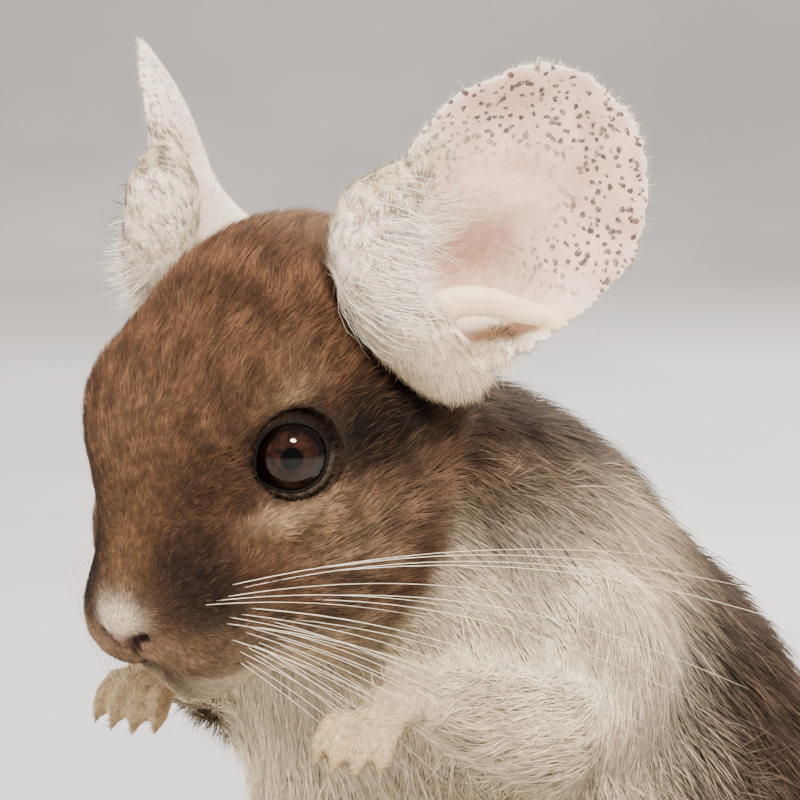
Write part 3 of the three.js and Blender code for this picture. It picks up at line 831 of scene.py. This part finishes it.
def coat_of(skin, unwrap, rng):
    """Scatters the whole coat and makes it in pieces."""
    kinds = skin.kinds
    table = np.array([COATS[k] for k in kinds], dtype=float)
    smooth = neighbour_average(table, skin.edges, 14)
    on_paw = np.isin(kinds, PAW_KINDS)[:, None]
    density, length, width, lift = np.where(on_paw, mixed(table, smooth, 0.4), smooth).T
    x, y, z = in_head(skin.points).T
    on_head = kinds == "head"
    from_nose = smoothstep(y, -28, 16)
    cheek = np.exp(-(((np.abs(x) - 22) / 10) ** 2 + ((y - 8) / 14) ** 2 + ((z + 20) / 12) ** 2))
    fore = smoothstep(skin.points[:, 2], 85 * MM, 125 * MM) * ~on_head
    density = np.where(on_head, mixed(12, 7.6, from_nose), density * mixed(0.85, 1.5, fore))
    width = np.where(on_head, mixed(0.11, 0.19, from_nose), width * mixed(1.06, 0.76, fore))
    length = np.where(on_head, mixed(1.1, 4.4, from_nose) + 2.4 * cheek, length)
    near = near_eye(skin.points)
    length = length * mixed(0.3, 1, np.clip(near, 0, 1))
    length = length * mixed(0.5, 1, smoothstep(skin.from_mouth, 0.5, 3.5))
    density = np.where((near < 0.05) | (skin.from_mouth < 0.5), 0, density)
    values = {
        "length": length * MM, "width": width * MM, "lift": np.radians(lift),
        "colour": skin.colour, "flow": skin.flow, "long": np.isin(kinds, LONG_HAIRED).astype(float),
    }
    roots, up, found = scattered(skin.mesh, skin.normals, values, density, rng)
    n = len(roots)
    wander = np.stack([noise_at(roots, 12 * MM, s) for s in (5, 6, 7)], 1)
    clump = np.stack([noise_at(roots, 3.4 * MM, s) for s in (8, 9, 10)], 1)
    along = unit(found["flow"]) + 0.24 * wander + 0.22 * clump + rng.normal(0, 0.16, (n, 3))
    along = on_surface(along, up)
    length = found["length"] * np.clip(rng.normal(1, 0.15, n), 0.55, 1.35)
    tip = ticked(found["colour"], roots, rng)
    # Each hair darkens towards its root: the fur's own dark base, and painted shade deep in the coat.
    pale = smoothstep(found["colour"].mean(1), 0.15, 0.6)[:, None]
    base = found["colour"] * mixed(ROOT_SHADE, PALE_ROOT_SHADE, pale)
    tuft = noise_at(roots, 4.5 * MM, 13)
    lift = np.clip(found["lift"] * (1 + 0.3 * tuft) + rng.normal(0, 0.1, n), 0.03, 0.9)
    uv = unwrap.at(roots)
    bent = (found["long"] > 0.5) & (rng.random(n) < BENT_SHARE)
    width = found["width"] * np.where(bent, 1.15, 1)
    made = []
    for group, rings, chosen in (("straight", 1, ~bent), ("bent", 2, bent)):
        mine = np.nonzero(chosen)[0]
        mine = mine[np.argsort(roots[mine, 0] + 0.5 * roots[mine, 1], kind="stable")]
        triangles = 6 * rings - 2
        pieces = max(1, math.ceil(len(mine) * triangles / MOST_TRIANGLES))
        for index, part in enumerate(np.array_split(mine, pieces)):
            fields = [field[part] for field in (roots, up, along, length, width, lift, base, tip, uv)]
            made.append(hair_mesh(f"coat_{group}_{index + 1}", *fields, rings))
    return made


def lift_off_floor(mesh, least=0.15 * MM):
    co = vertices_of(mesh)
    co[:, 2] = np.maximum(co[:, 2], least)
    set_vertices(mesh, co)
    return mesh


# Ears, in their own axes: x across from the front rim to the rear rim, y to the tip, z out of the opening

EAR_CENTRE = (35.5, 36, 18.5)
EAR_LENGTH_AXIS = (0.48, 0.46, 0.745)
EAR_OPENING_AXIS = (0.61, -0.77, 0.08)
EAR_HALF_WIDTH = 18.5
EAR_ABOVE = 22.5
EAR_BELOW = 27.5
EAR_WIDEST = 3
EAR_THICKNESS = 1.2
EAR_CUP_DEPTH = 6.5
EAR_CANAL_DEPTH = 7.5
EAR_VOXEL = 0.55 * MM


def ear_axes(side):
    """A matrix whose columns are the ear's axes in the row's frame, and the place of its middle."""
    along = unit(np.array(EAR_LENGTH_AXIS))
    out = np.array(EAR_OPENING_AXIS)
    out = unit(out - along * (out @ along))
    mirror = np.diag([SIGN[side], 1, 1])
    axes = mirror @ np.stack([np.cross(along, out), along, out], 1)
    return HEAD_AXES @ axes, np.array(at_head(*mirror @ np.array(EAR_CENTRE)))


def cup_depth(a, b, r):
    low = smoothstep(-b, -4, 22)
    canal = np.exp(-((a - 1) ** 2 + (b + 13) ** 2) / 70)
    return EAR_CUP_DEPTH * (1 - r * r) * (1 + 0.35 * low) + EAR_CANAL_DEPTH * canal * (1 - r**4)


def rim_height(a, b):
    low = smoothstep(-b, 0, 22)
    return 2.5 * (a / EAR_HALF_WIDTH) ** 2 * (0.4 + low) - 0.004 * b * np.abs(b)


def cup_points(r, angle, front):
    """Points of the cup's shell; front is 1 inside the cup and -1 on its back."""
    height = np.sin(angle)
    taper = 1 - 0.34 * np.maximum(0, -height) ** 1.5
    wavy = 1 + 0.012 * np.sin(7 * angle + 1) + 0.008 * np.sin(13 * angle)
    a = r * EAR_HALF_WIDTH * np.cos(angle) * taper * wavy
    b = EAR_WIDEST + r * np.where(height > 0, EAR_ABOVE, EAR_BELOW) * height * wavy
    fold = 0.25 * np.sin(3 * angle + 9 * r) * r * (1 - r)
    wall = EAR_THICKNESS / 2 * (1 + 0.8 * (1 - r)) * np.sqrt(np.maximum(0, 1 - r**10))
    return np.stack([a, b, rim_height(a, b) - cup_depth(a, b, r) + front * wall + fold], -1)


def ring_faces(rows, sides):
    """Faces of a closed surface of `rows` rings of points, whose two poles come after them."""
    row, column = np.meshgrid(np.arange(rows - 1), np.arange(sides), indexing="ij")
    after = (column + 1) % sides
    quads = np.stack([row, row + 1, row + 1, row], -1) * sides
    quads = (quads + np.stack([column, column, after, after], -1)).reshape(-1, 4)
    k, last, pole = np.arange(sides), (rows - 1) * sides, rows * sides
    start = np.stack([np.full(sides, pole), k, (k + 1) % sides], 1)
    end = np.stack([np.full(sides, pole + 1), last + (k + 1) % sides, last + k], 1)
    return [quads, np.concatenate([start, end])]


def cup_shell(sides=120, rings=44):
    """The cup as one closed surface: its inside, then its back, meeting at the rim."""
    reach = np.sin(np.linspace(0, math.pi, 2 * rings + 1)[1:-1]) ** 0.8
    front = np.where(np.arange(len(reach)) < rings, 1, -1)
    angle = np.linspace(0, 2 * math.pi, sides, endpoint=False)
    grid = cup_points(reach[:, None], angle[None], front[:, None]).reshape(-1, 3)
    poles = np.stack([cup_points(0.0, 0.0, 1), cup_points(0.0, 0.0, -1)])
    return np.concatenate([grid, poles]), ring_faces(len(reach), sides)


def spline(points, count):
    """Points of a smooth curve through those given, at even steps."""
    p = np.asarray(points, dtype=float)
    p = np.concatenate([[2 * p[0] - p[1]], p, [2 * p[-1] - p[-2]]])
    t = np.linspace(0, 1, 24, endpoint=False)[:, None]
    fine = []
    for a, b, c, d in zip(p, p[1:], p[2:], p[3:]):
        square, cube = 2 * a - 5 * b + 4 * c - d, 3 * b - a - 3 * c + d
        fine.append(0.5 * (2 * b + (c - a) * t + square * t**2 + cube * t**3))
    fine = np.concatenate(fine + [p[-2:-1]])
    length = np.concatenate([[0], np.cumsum(np.linalg.norm(np.diff(fine, axis=0), axis=1))])
    even = np.linspace(0, length[-1], count)
    return np.stack([np.interp(even, length, fine[:, k]) for k in range(3)], 1)


def tube(path, width, height, sides=14, over=(0, 0, 1)):
    """A closed tube along `path`, with half sizes for each of its points, and its faces."""
    path = np.asarray(path)
    along = unit(np.gradient(path, axis=0))
    across = unit(np.cross(along, np.array(over, dtype=float)))
    rise = np.cross(across, along)
    angle = np.linspace(0, 2 * math.pi, sides, endpoint=False)
    ring = across[:, None] * np.cos(angle)[None, :, None] * np.asarray(width)[:, None, None]
    ring = ring + rise[:, None] * np.sin(angle)[None, :, None] * np.asarray(height)[:, None, None]
    points = np.concatenate([(path[:, None] + ring).reshape(-1, 3), path[:1], path[-1:]])
    return points, ring_faces(len(path), sides)


def rounded_sizes(sizes, count, cap=0.2):
    t = np.linspace(0, 1, count)
    size = np.interp(t * (len(sizes) - 1), np.arange(len(sizes)), sizes)
    end = np.clip(np.minimum(t, 1 - t) / cap, 0.02, 1)
    return size * np.sqrt(1 - (1 - end) ** 2)


EAR_ROOT = [(-16.5, 3, -1.5), (-18, -9, 2.5), (-11.5, -16.5, 5), (-4, -21, 4.5), (3, -23, 3), (7, -20, 1)]
EAR_ROOT_SIZES = [2.6, 5.6, 5.8, 4.9, 4.2, 3.2]
EAR_FOLD = [
    (13.5, -9.5, 0), (8, -10.5, 0.5), (1.5, -11.5, 1.5), (-3.5, -14.5, 2.5), (-1, -18.5, 2), (5, -20, 0.5),
]
EAR_FOLD_WIDTH = [1.6, 2, 2.4, 2.6, 2.2, 1.6]
EAR_FOLD_HEIGHT = [1.2, 1.4, 1.6, 1.8, 1.8, 1.4]


def combined(parts):
    """Several closed surfaces, each as points and lists of quads and triangles, in one mesh."""
    points, quads, tris, start = [], [], [], 0
    for p, (q, t) in parts:
        points.append(p)
        quads.append(q + start)
        tris.append(t + start)
        start += len(p)
    return np.concatenate(points), [np.concatenate(quads), np.concatenate(tris)]


def ear_mesh(side):
    girth = rounded_sizes(EAR_ROOT_SIZES, 40, 0.22)
    root = tube(spline(EAR_ROOT, 40), girth, girth, over=(0, 0.1, 1))
    fold_sizes = [rounded_sizes(sizes, 40) for sizes in (EAR_FOLD_WIDTH, EAR_FOLD_HEIGHT)]
    fold = tube(spline(EAR_FOLD, 40), *fold_sizes, 12)
    points, faces = combined([cup_shell(), root, fold])
    axes, centre = ear_axes(side)
    mesh = faced_outwards(mesh_from("ear", points * MM @ axes.T + centre, faces))
    return largest_part(remeshed(mesh, EAR_VOXEL, 3))


def ear_fields(mesh, side):
    """What the ear's surface is at each point: its own coordinates, how far out it is, inside or back."""
    axes, centre = ear_axes(side)
    local = (vertices_of(mesh) - centre) @ axes / MM
    a, b = local[:, 0], local[:, 1]
    reach = np.where(b > EAR_WIDEST, EAR_ABOVE, EAR_BELOW)
    down = np.clip((EAR_WIDEST - b) / EAR_BELOW, 0, 1)
    return {
        "local": local, "a": a, "b": b, "inside": normals_of(mesh) @ axes[:, 2] > 0,
        "r": np.hypot(a / (EAR_HALF_WIDTH * (1 - 0.34 * down**1.5)), (b - EAR_WIDEST) / reach),
        "root": away_from(local, spline(EAR_ROOT, 30)), "fold": away_from(local, spline(EAR_FOLD, 30)),
    }


def ear_colours(f):
    # Deep in the canal the skin is painted a dull brown, more the deeper it lies: painted shade in that
    # hollow.
    in_canal = np.exp(-((f["a"] + 1) ** 2 + (f["b"] + 14) ** 2) / 40) * smoothstep(-f["local"][:, 2], 2, 9)
    colour = np.tile(srgb(234, 200, 182), (len(f["a"]), 1))
    for mark, weight in (
        (srgb(238, 222, 208), 0.75 * smoothstep(-f["b"], -8, 14)),
        (srgb(176, 132, 100), 0.8 * in_canal),
        (srgb(214, 200, 184), 1.0 - f["inside"]),
        (srgb(238, 224, 214), 0.7 * smoothstep(f["r"], 0.9, 0.97)),
        (srgb(112, 92, 86), 0.75 * smoothstep(f["r"], 0.975, 1.0) * smoothstep(f["a"], 2, 10)),
        (srgb(240, 214, 178), 0.85 * smoothstep(-f["fold"], -3.2, -1.8)),
        (srgb(240, 226, 208), 0.9 * smoothstep(-f["root"], -7, -4.5)),
    ):
        colour = painted(colour, mark, weight)
    return colour


def ear_freckles(f):
    outer = smoothstep(f["a"] / EAR_HALF_WIDTH + 0.5 * f["b"] / EAR_ABOVE, -0.3, 0.3)
    top = smoothstep(f["b"], 2, 13)
    left = 0.8 * smoothstep(-f["a"], 8, 13) * smoothstep(f["b"], -14, 0)
    mask = np.maximum(np.maximum(outer * smoothstep(f["b"], -14, 0), top), left)
    return mask * smoothstep(f["r"], 0.15, 0.55) * (f["fold"] > 4)


def hairs_on(name, mesh, flow, length, width, lift, base, tip, density, rng, unwrap, rings=1, curl=0.5):
    """One piece of hair over `mesh`, of which each field is one value, or one for each of its points."""
    ones = np.ones(len(mesh.vertices))
    fields = {"flow": flow, "length": length * ones, "width": width * ones, "lift": lift * ones}
    fields.update(base=base * ones[:, None], tip=tip * ones[:, None])
    roots, up, found = scattered(mesh, normals_of(mesh), fields, density, rng)
    n = len(roots)
    along = on_surface(unit(found["flow"]) + rng.normal(0, 0.16, (n, 3)), up)
    shade = np.clip(rng.normal(1, 0.1, n), 0.6, 1.3)[:, None]
    size = np.clip(rng.normal(1, 0.22, n), 0.45, 1.6)
    lift = np.clip(found["lift"] + rng.normal(0, 0.15, n), 0.02, 1.4)
    return hair_mesh(
        name, roots, up, along, found["length"] * MM * size, found["width"] * MM, lift,
        found["base"] * shade, found["tip"] * shade, unwrap.at(roots), rings, curl,
    )


def ear_hair(side, mesh, rng, unwrap):
    """The ear's hair: short over its root, on its back and rim, long across its mouth, and down inside."""
    f = ear_fields(mesh, side)
    a, b, r = f["a"], f["b"], f["r"]
    across, along, out = (np.tile(column, (len(a), 1)) for column in ear_axes(side)[0].T)
    white = srgb(248, 236, 218)
    outward = unit(across * a[:, None] + along * (b - EAR_WIDEST)[:, None])
    on_root = smoothstep(-f["root"], -6.2, -5) * smoothstep(b, 8, 3)
    root_flow = unit(along * 0.75 - across * 0.35 + out * 0.25)
    root_flow = np.where((b < -17)[:, None], unit(-along * 0.6 + across * 0.5), root_flow)
    root_flow = root_flow + 0.3 * rng.normal(size=(len(a), 3))
    patch = smoothstep(noise_at(vertices_of(mesh), 2.8 * MM, 12), -0.2, 0.08) * smoothstep(b, -23, -13)
    root_tip = painted(srgb(238, 214, 180), srgb(84, 68, 58), 0.85 * patch)
    back_tip = painted(srgb(248, 234, 212), srgb(190, 168, 146), 0.3 * patch)
    rim = smoothstep(r, 0.965, 1.0) * (b > -22)
    back = ~f["inside"] & (on_root < 0.5)
    ahead = -a / EAR_HALF_WIDTH
    front_edge = smoothstep(ahead, 0.42, 0.6) * smoothstep(ahead, 1.1, 0.85) * smoothstep(b, -22, -16)
    front_edge = front_edge * smoothstep(b, 2, -5) * f["inside"]
    down = f["inside"] * (on_root < 0.5) * (r < 0.97) * (f["fold"] > 3)
    over_mouth = unit(across * 0.8 + along * 0.25 + out * 0.3)
    root_length = mixed(1.6, 2.9, smoothstep(-b, 8, 18))
    back_length = mixed(1.5, 1.2, rim)
    down_length = mixed(1.3, 2.2, smoothstep(-b, -4, 14))
    # The root, back and long hair are painted darker at their roots than at their tips: painted shade deep in
    # the hair.
    for name, *fields in (
        ("root_hair", root_flow, root_length, 0.13, 0.5, root_tip * 0.8, root_tip, 12 * on_root, (1,)),
        ("back_hair", outward, back_length, 0.1, 0.3, back_tip * 0.75, back_tip, 4 * back + 5 * rim, ()),
        ("long_hair", over_mouth, 7, 0.1, 0.6, white * 0.9, white, 2.6 * front_edge, (3, 0.9)),
        ("down", unit(along + 0.3 * outward), down_length, 0.08, 0.6, ear_colours(f), white, 3.4 * down, ()),
    ):
        yield hairs_on(f"ear_{name}_{side}", mesh, *fields[:-1], rng, unwrap, *fields[-1])


# Eyes and lids


def eye_frame(side):
    """A matrix whose columns are the eye's axes in the row's frame; the last is the way it looks."""
    yaw, rise = math.radians(49), math.radians(17)
    aim = (SIGN[side] * math.sin(yaw) * math.cos(rise), -math.cos(yaw) * math.cos(rise), math.sin(rise))
    out = np.array(HEAD_TURN @ Vector(aim))
    across = unit(np.cross(HEAD_AXES[:, 2], out))
    return np.stack([across, np.cross(out, across), out], 1)


def eyeball(side, around=72, down=48):
    polar = np.linspace(0, math.pi, down + 1)[1:-1]
    angle = np.linspace(0, 2 * math.pi, around, endpoint=False)
    rim = np.sin(polar)[:, None]
    shape = np.stack([rim * np.cos(angle), rim * np.sin(angle), np.cos(polar)[:, None] * np.ones(around)], -1)
    shape = np.concatenate([shape.reshape(-1, 3), [[0, 0, 1]], [[0, 0, -1]]])
    bulge = 1 + 0.045 * smoothstep(shape[:, 2], 0.72, 0.95)
    points = (shape * bulge[:, None] * EYE_RADIUS) @ eye_frame(side).T + np.array(EYES[side])
    mesh = mesh_from("eyeball_" + side, points, ring_faces(len(polar), around))
    iris = shape.copy()
    iris[:, :2] *= np.where(shape[:, 2:] > 0, 1, 1.5)
    attribute = mesh.attributes.new("iris", "FLOAT_VECTOR", "POINT")
    attribute.data.foreach_set("vector", iris.astype(np.float32).ravel())
    return mesh


# The lids' section: degrees out from their free edge, and millimetres above the eye
LID_SECTION = [(24, -0.9), (18, -0.4), (12, 0.05), (7, 0.3), (2.5, 0.34), (0, 0.18), (0.6, 0), (6, -0.3)]


def lid_edge(angle, side):
    """Degrees from the eye's axis to the lids' edge: nearly round, with a small corner towards the nose."""
    nose = math.pi + 0.3 if side == "left" else -0.3
    corner = np.exp(-((np.angle(np.exp(1j * (angle - nose))) / 0.36) ** 2))
    rear = np.exp(-((np.angle(np.exp(1j * (angle - nose - math.pi))) / 0.5) ** 2))
    return 50 - 2.5 * np.maximum(np.sin(angle), 0) ** 2 + 11 * corner + 3 * rear


def lid_mesh(side, steps=96):
    """The dark lids, a ring that hugs the eye."""
    angle = np.linspace(0, 2 * math.pi, steps, endpoint=False)[:, None]
    section = np.array(LID_SECTION)
    polar = np.radians(lid_edge(angle, side) + section[None, :, 0])
    rim = np.stack([np.sin(polar) * np.cos(angle), np.sin(polar) * np.sin(angle), np.cos(polar)], -1)
    points = (rim * (EYE_RADIUS + section[:, 1:] * MM)).reshape(-1, 3)
    points = points @ eye_frame(side).T + np.array(EYES[side])
    sides = len(section)
    row, column = np.meshgrid(np.arange(steps), np.arange(sides), indexing="ij")
    here, after = row * sides, (row + 1) % steps * sides
    beside = (column + 1) % sides
    quads = np.stack([here + column, after + column, after + beside, here + beside], -1)
    return mesh_from("eye_rim_" + side, points, [quads.reshape(-1, 4)])


def lid_hair(side, mesh, rng, unwrap):
    """Very short hair on the lids, dark at their edge, with a pale line below the eye."""
    axes = eye_frame(side)
    local = (vertices_of(mesh) - np.array(EYES[side])) @ axes
    angle = np.arctan2(local[:, 1], local[:, 0])
    polar = np.degrees(np.arccos(np.clip(local[:, 2] / np.linalg.norm(local, axis=1), -1, 1)))
    out = polar - lid_edge(angle, side)
    flow = unit(local * row_of(1, 1, 0) @ axes.T) + 0.5 * unit(HEAD_AXES[:, 1])
    outer = smoothstep(out, 4, 10)
    ahead = smoothstep(-np.cos(angle) * SIGN[side], -0.3, 0.5)
    low = smoothstep(-np.sin(angle), 0.15, 0.65)
    tip = painted(srgb(36, 24, 18), srgb(104, 78, 56), outer * ahead)
    tip = painted(tip, srgb(236, 214, 184), 0.9 * low * outer)
    density = 26 * smoothstep(out, 1, 4)
    # The roots are painted at 0.6 of the tips: painted shade deep in the hair.
    return hairs_on("lid_hair_" + side, mesh, flow, 2.1, 0.12, 0.35, tip * 0.6, tip, density, rng, unwrap)


# Whiskers

WHISKERS_A_SIDE = 32
WHISKER_STEPS = 18


def whisker_mesh(side, skin, rng):
    """Long bristles that sweep back from the muzzle in five rows; the right side's stand out more."""
    reach, back = {"left": (90, 0.3), "right": (72, 0.12)}[side]
    sign = SIGN[side]
    tree = tree_of(skin.points, triangles_of(skin.mesh))
    t = np.linspace(0, 1, WHISKER_STEPS)
    parts = []
    for i in range(WHISKERS_A_SIDE):
        row, place_in_row = i % 5, i // 5
        y = -24 + 1.15 * place_in_row + 0.4 * row + rng.normal(0, 0.4)
        z = -13.5 - 2.6 * row + rng.normal(0, 0.4)
        hit = tree.ray_cast(at_head(sign * 30, y, z), HEAD_TURN @ Vector((-sign, 0.1, 0)))[0]
        if hit is None:
            continue
        root = in_head(np.array([hit]))[0] - row_of(sign * 0.8, 0, 0)
        long = 0.42 + 0.58 * (place_in_row / 6) ** 0.8
        length = (reach - 11 * row) * long * rng.uniform(0.86, 1.08)
        level = -0.06 - 0.24 * row + rng.normal(0, 0.06)
        start_way = unit(row_of(sign * (0.84 - 0.03 * row), back + 0.08 * place_in_row, level + 0.1))
        end_way = unit(row_of(sign * 0.38, 3 * back, level - 0.42 + rng.normal(0, 0.05)))
        way = unit(mixed(start_way, end_way, smoothstep(t, -0.35, 0.85)[:, None]))
        steps = np.cumsum(way[:-1] * length / (WHISKER_STEPS - 1), axis=0)
        path = root + np.concatenate([[[0, 0, 0]], steps])
        path[:, 2] -= (0.13 + 0.02 * row) * length * t**2.2
        girth = (0.052 * (1 - t) ** 0.6 + 0.015) * (0.7 + 0.3 * long)
        parts.append(tube(path, girth, girth, 5, (0.1, 0.1, 1)))
    points, faces = combined(parts)
    return mesh_from("whiskers_" + side, points * MM @ HEAD_AXES.T + np.array(HEAD_AT), faces)


# Claws


def claws():
    """Small curved claws at the ends of the digits."""
    parts = []
    for tip, on, size in digit_ends():
        start = tip - on * size * 0.9 + row_of(0, 0, size * 0.2)
        path = [start, start + on * size * 0.7, start + on * size * 1.15 - row_of(0, 0, size * 0.3)]
        girth = rounded_sizes([0.26, 0.2, 0.05], 10, 0.1) * size
        path = spline(path, 10)
        path[:, 2] = np.maximum(path[:, 2], 0.4 * MM)
        parts.append(tube(path, girth, girth, 8, (1, 0.1, 0)))
    points, faces = combined(parts)
    points[:, 2] = np.maximum(points[:, 2], 0.05 * MM)
    return mesh_from("claws", points, faces)


# Tail: a thin core under long coarse locks

TAIL_PATH = [(0, 78, 26), (1, 100, 17), (9, 126, 15), (26, 148, 14), (49, 162, 13)]
TAIL_STEPS = 70
TAIL_SIZES = [7.5, 7.2, 6.8, 6, 4.5]
TAIL_TOP = srgb(84, 62, 50)
TAIL_SIDE = srgb(142, 120, 102)
# The tail's core and the roots of its locks are darker: painted shade deep in the locks, over the fur's own
# darker base.
TAIL_ROOT_SHADE = 0.5
# Hairs per square millimetre, length and width in millimetres, lift, rings and the seed of their shades
TAIL_COATS = {
    "tail_under_hair": (4.0, 16, 0.36, 0.5, 1, 31),
    "tail_locks": (1.5, 30, 0.66, 0.66, 3, 32),
}


def tail_parts(rng):
    path = (spline(TAIL_PATH, TAIL_STEPS) + DRAWN_SHIFT) * MM
    size = rounded_sizes(TAIL_SIZES, TAIL_STEPS, 0.06) * MM
    points, faces = tube(path, size, size, 36, (0.1, 0, 1))
    core = faced_outwards(mesh_from("tail_skin", points, faces))
    nearest = np.argmin(np.linalg.norm(points[:, None] - path[None], axis=2), axis=1)
    flow = unit(np.gradient(path, axis=0))[nearest]
    t = nearest / (TAIL_STEPS - 1)
    colour = painted(TAIL_SIDE, TAIL_TOP, smoothstep(normals_of(core)[:, 2], -0.4, 0.8))
    # Painted shade: the core and the lock roots are darkened.
    base = colour * TAIL_ROOT_SHADE
    colour_points(core, "coat", base)
    unwrap = Unwrap(core, 1.5 * MM)
    locks = []
    for name, (density, length, width, lift, rings, seed) in TAIL_COATS.items():
        tick = np.clip(0.75 + 0.5 * noise_at(points, 5 * MM, seed), 0.4, 1.5)[:, None]
        tip = mixed(colour * tick, srgb(206, 184, 158), 0.18)
        length = length * mixed(0.85, 0.8, t)
        lift = lift * mixed(0.75, 1.0, smoothstep(t, 0.1, 0.5))
        density = density * mixed(1, 1.7, smoothstep(t, 0.75, 1))
        fields = flow, length, width, lift, base, tip, density
        locks.append(hairs_on(name, core, *fields, rng, unwrap, rings, 0.45))
    return core, locks


# Floor, light and camera


# Each light's place, width in metres, watts and colour
LIGHTS = {
    "key": ((0.62, -0.62, 0.95), 0.32, 44, (1, 0.95, 0.88)),
    "fill": ((-0.9, -0.75, 0.5), 0.8, 21, (1, 0.98, 0.96)),
    "rim": ((-0.1, 0.9, 0.8), 0.6, 36, (1, 0.96, 0.9)),
}


def backdrop():
    """A floor that bends up into a wall behind the animal."""
    far, near, high, bend = 1.6, -1.4, 1.3, 0.35
    profile = [(near, 0)]
    for k in range(13):
        angle = math.pi / 2 * k / 12
        profile.append((far - bend + bend * math.sin(angle), bend - bend * math.cos(angle)))
    profile.append((far, high))
    count = len(profile)
    points = np.array([(x, y, z) for x in (-1.8, 1.8) for y, z in profile])
    k = np.arange(count - 1)
    mesh = mesh_from("backdrop", points, [np.stack([k, count + k, count + k + 1, k + 1], 1)])
    mesh.materials.append(plain_material("pale_backdrop", (0.5, 0.487, 0.475), 0.9, 3, 0.02, 0.2))
    obj = shown("backdrop", mesh)
    obj.rotation_euler.z = math.radians(CAMERA_AZIMUTH)
    obj.location.z = -0.2 * MM


def light_up():
    world = bpy.data.worlds.new("soft_room")
    world.use_nodes = True
    inputs = world.node_tree.nodes["Background"].inputs
    inputs["Color"].default_value = (1, 0.97, 0.93, 1)
    inputs["Strength"].default_value = 0.42
    bpy.context.scene.world = world
    for name, (at, size, power, colour) in LIGHTS.items():
        light = bpy.data.lights.new(name, "AREA")
        light.shape = "DISK"
        light.size = size
        light.energy = power
        light.color = colour
        obj = shown(name, light)
        obj.location = at
        obj.rotation_euler = (HEAD_AT - Vector(at)).to_track_quat("-Z", "Y").to_euler()


def photo_camera():
    """Stands where the photo was taken, so that the left eye falls on its place in the photo."""
    az, el = math.radians(CAMERA_AZIMUTH), math.radians(CAMERA_ELEVATION)
    back = Vector((math.sin(az) * math.cos(el), -math.cos(az) * math.cos(el), math.sin(el)))
    right = Vector((math.cos(az), math.sin(az), 0))
    up = back.cross(right)
    per_pixel = FIELD_AT_EYE / PICTURE
    middle = PICTURE / 2
    camera = bpy.data.cameras.new("camera")
    camera.sensor_width = 36
    camera.lens = camera.sensor_width * CAMERA_TO_EYE / FIELD_AT_EYE
    camera.clip_start = 0.01
    obj = shown("camera", camera)
    shift = right * (middle - EYE_PIXEL[0]) * per_pixel - up * (middle - EYE_PIXEL[1]) * per_pixel
    obj.location = EYES["left"] + back * CAMERA_TO_EYE + shift
    obj.rotation_mode = "QUATERNION"
    obj.rotation_quaternion = (-back).to_track_quat("-Z", "Y")
    bpy.context.scene.camera = obj


def build():
    rng = np.random.default_rng(SEED)
    coat_hair = hair_material()
    ear_skin = ear_material()
    lid = plain_material("eye_rim", srgb(14, 9, 7), 0.75, 900, 0.5, 0.1)
    whisker = plain_material("whisker", srgb(236, 224, 204), 0.4, 400, 0.02)
    horn = plain_material("claw_horn", srgb(150, 128, 104), 0.4, 500, 0.1)
    under_coat = skin_material()
    eye = eye_material()
    skin = Skin()
    unwrap = Unwrap(skin.mesh)
    # Painted shade: the skin under the coat is darkened.
    colour_points(skin.mesh, "coat", skin.colour * UNDER_COAT_SHADE)
    place("skin", skin.mesh, under_coat, "dark_fur", FLESH)
    for mesh in coat_of(skin, unwrap, rng):
        place(mesh.name, lift_off_floor(mesh), coat_hair, "dark_fur")
    for side in SIGN:
        place("eyeball_" + side, eyeball(side), eye, "eye", ["eye_" + side])
        lids = lid_mesh(side)
        place("eye_rim_" + side, lids, lid, "eye")
        place("lid_hair_" + side, lid_hair(side, lids, rng, unwrap), coat_hair, "dark_fur")
        ear = ear_mesh(side)
        f = ear_fields(ear, side)
        colour_points(ear, "coat", ear_colours(f))
        colour_points(ear, "freckled", ear_freckles(f)[:, None])
        place("ear_skin_" + side, ear, ear_skin, "ear_skin", ["ear_" + side])
        for mesh in ear_hair(side, ear, rng, Unwrap(ear, 1.5 * MM)):
            place(mesh.name, mesh, coat_hair, "pale_fur")
        place("whiskers_" + side, whisker_mesh(side, skin, rng), whisker, "whisker")
    place("claws", claws(), horn, "claw")
    core, locks = tail_parts(rng)
    place("tail_skin", core, under_coat, "dark_fur", TAIL)
    for mesh in locks:
        place(mesh.name, lift_off_floor(mesh), coat_hair, "dark_fur")


build()
backdrop()
light_up()
photo_camera()
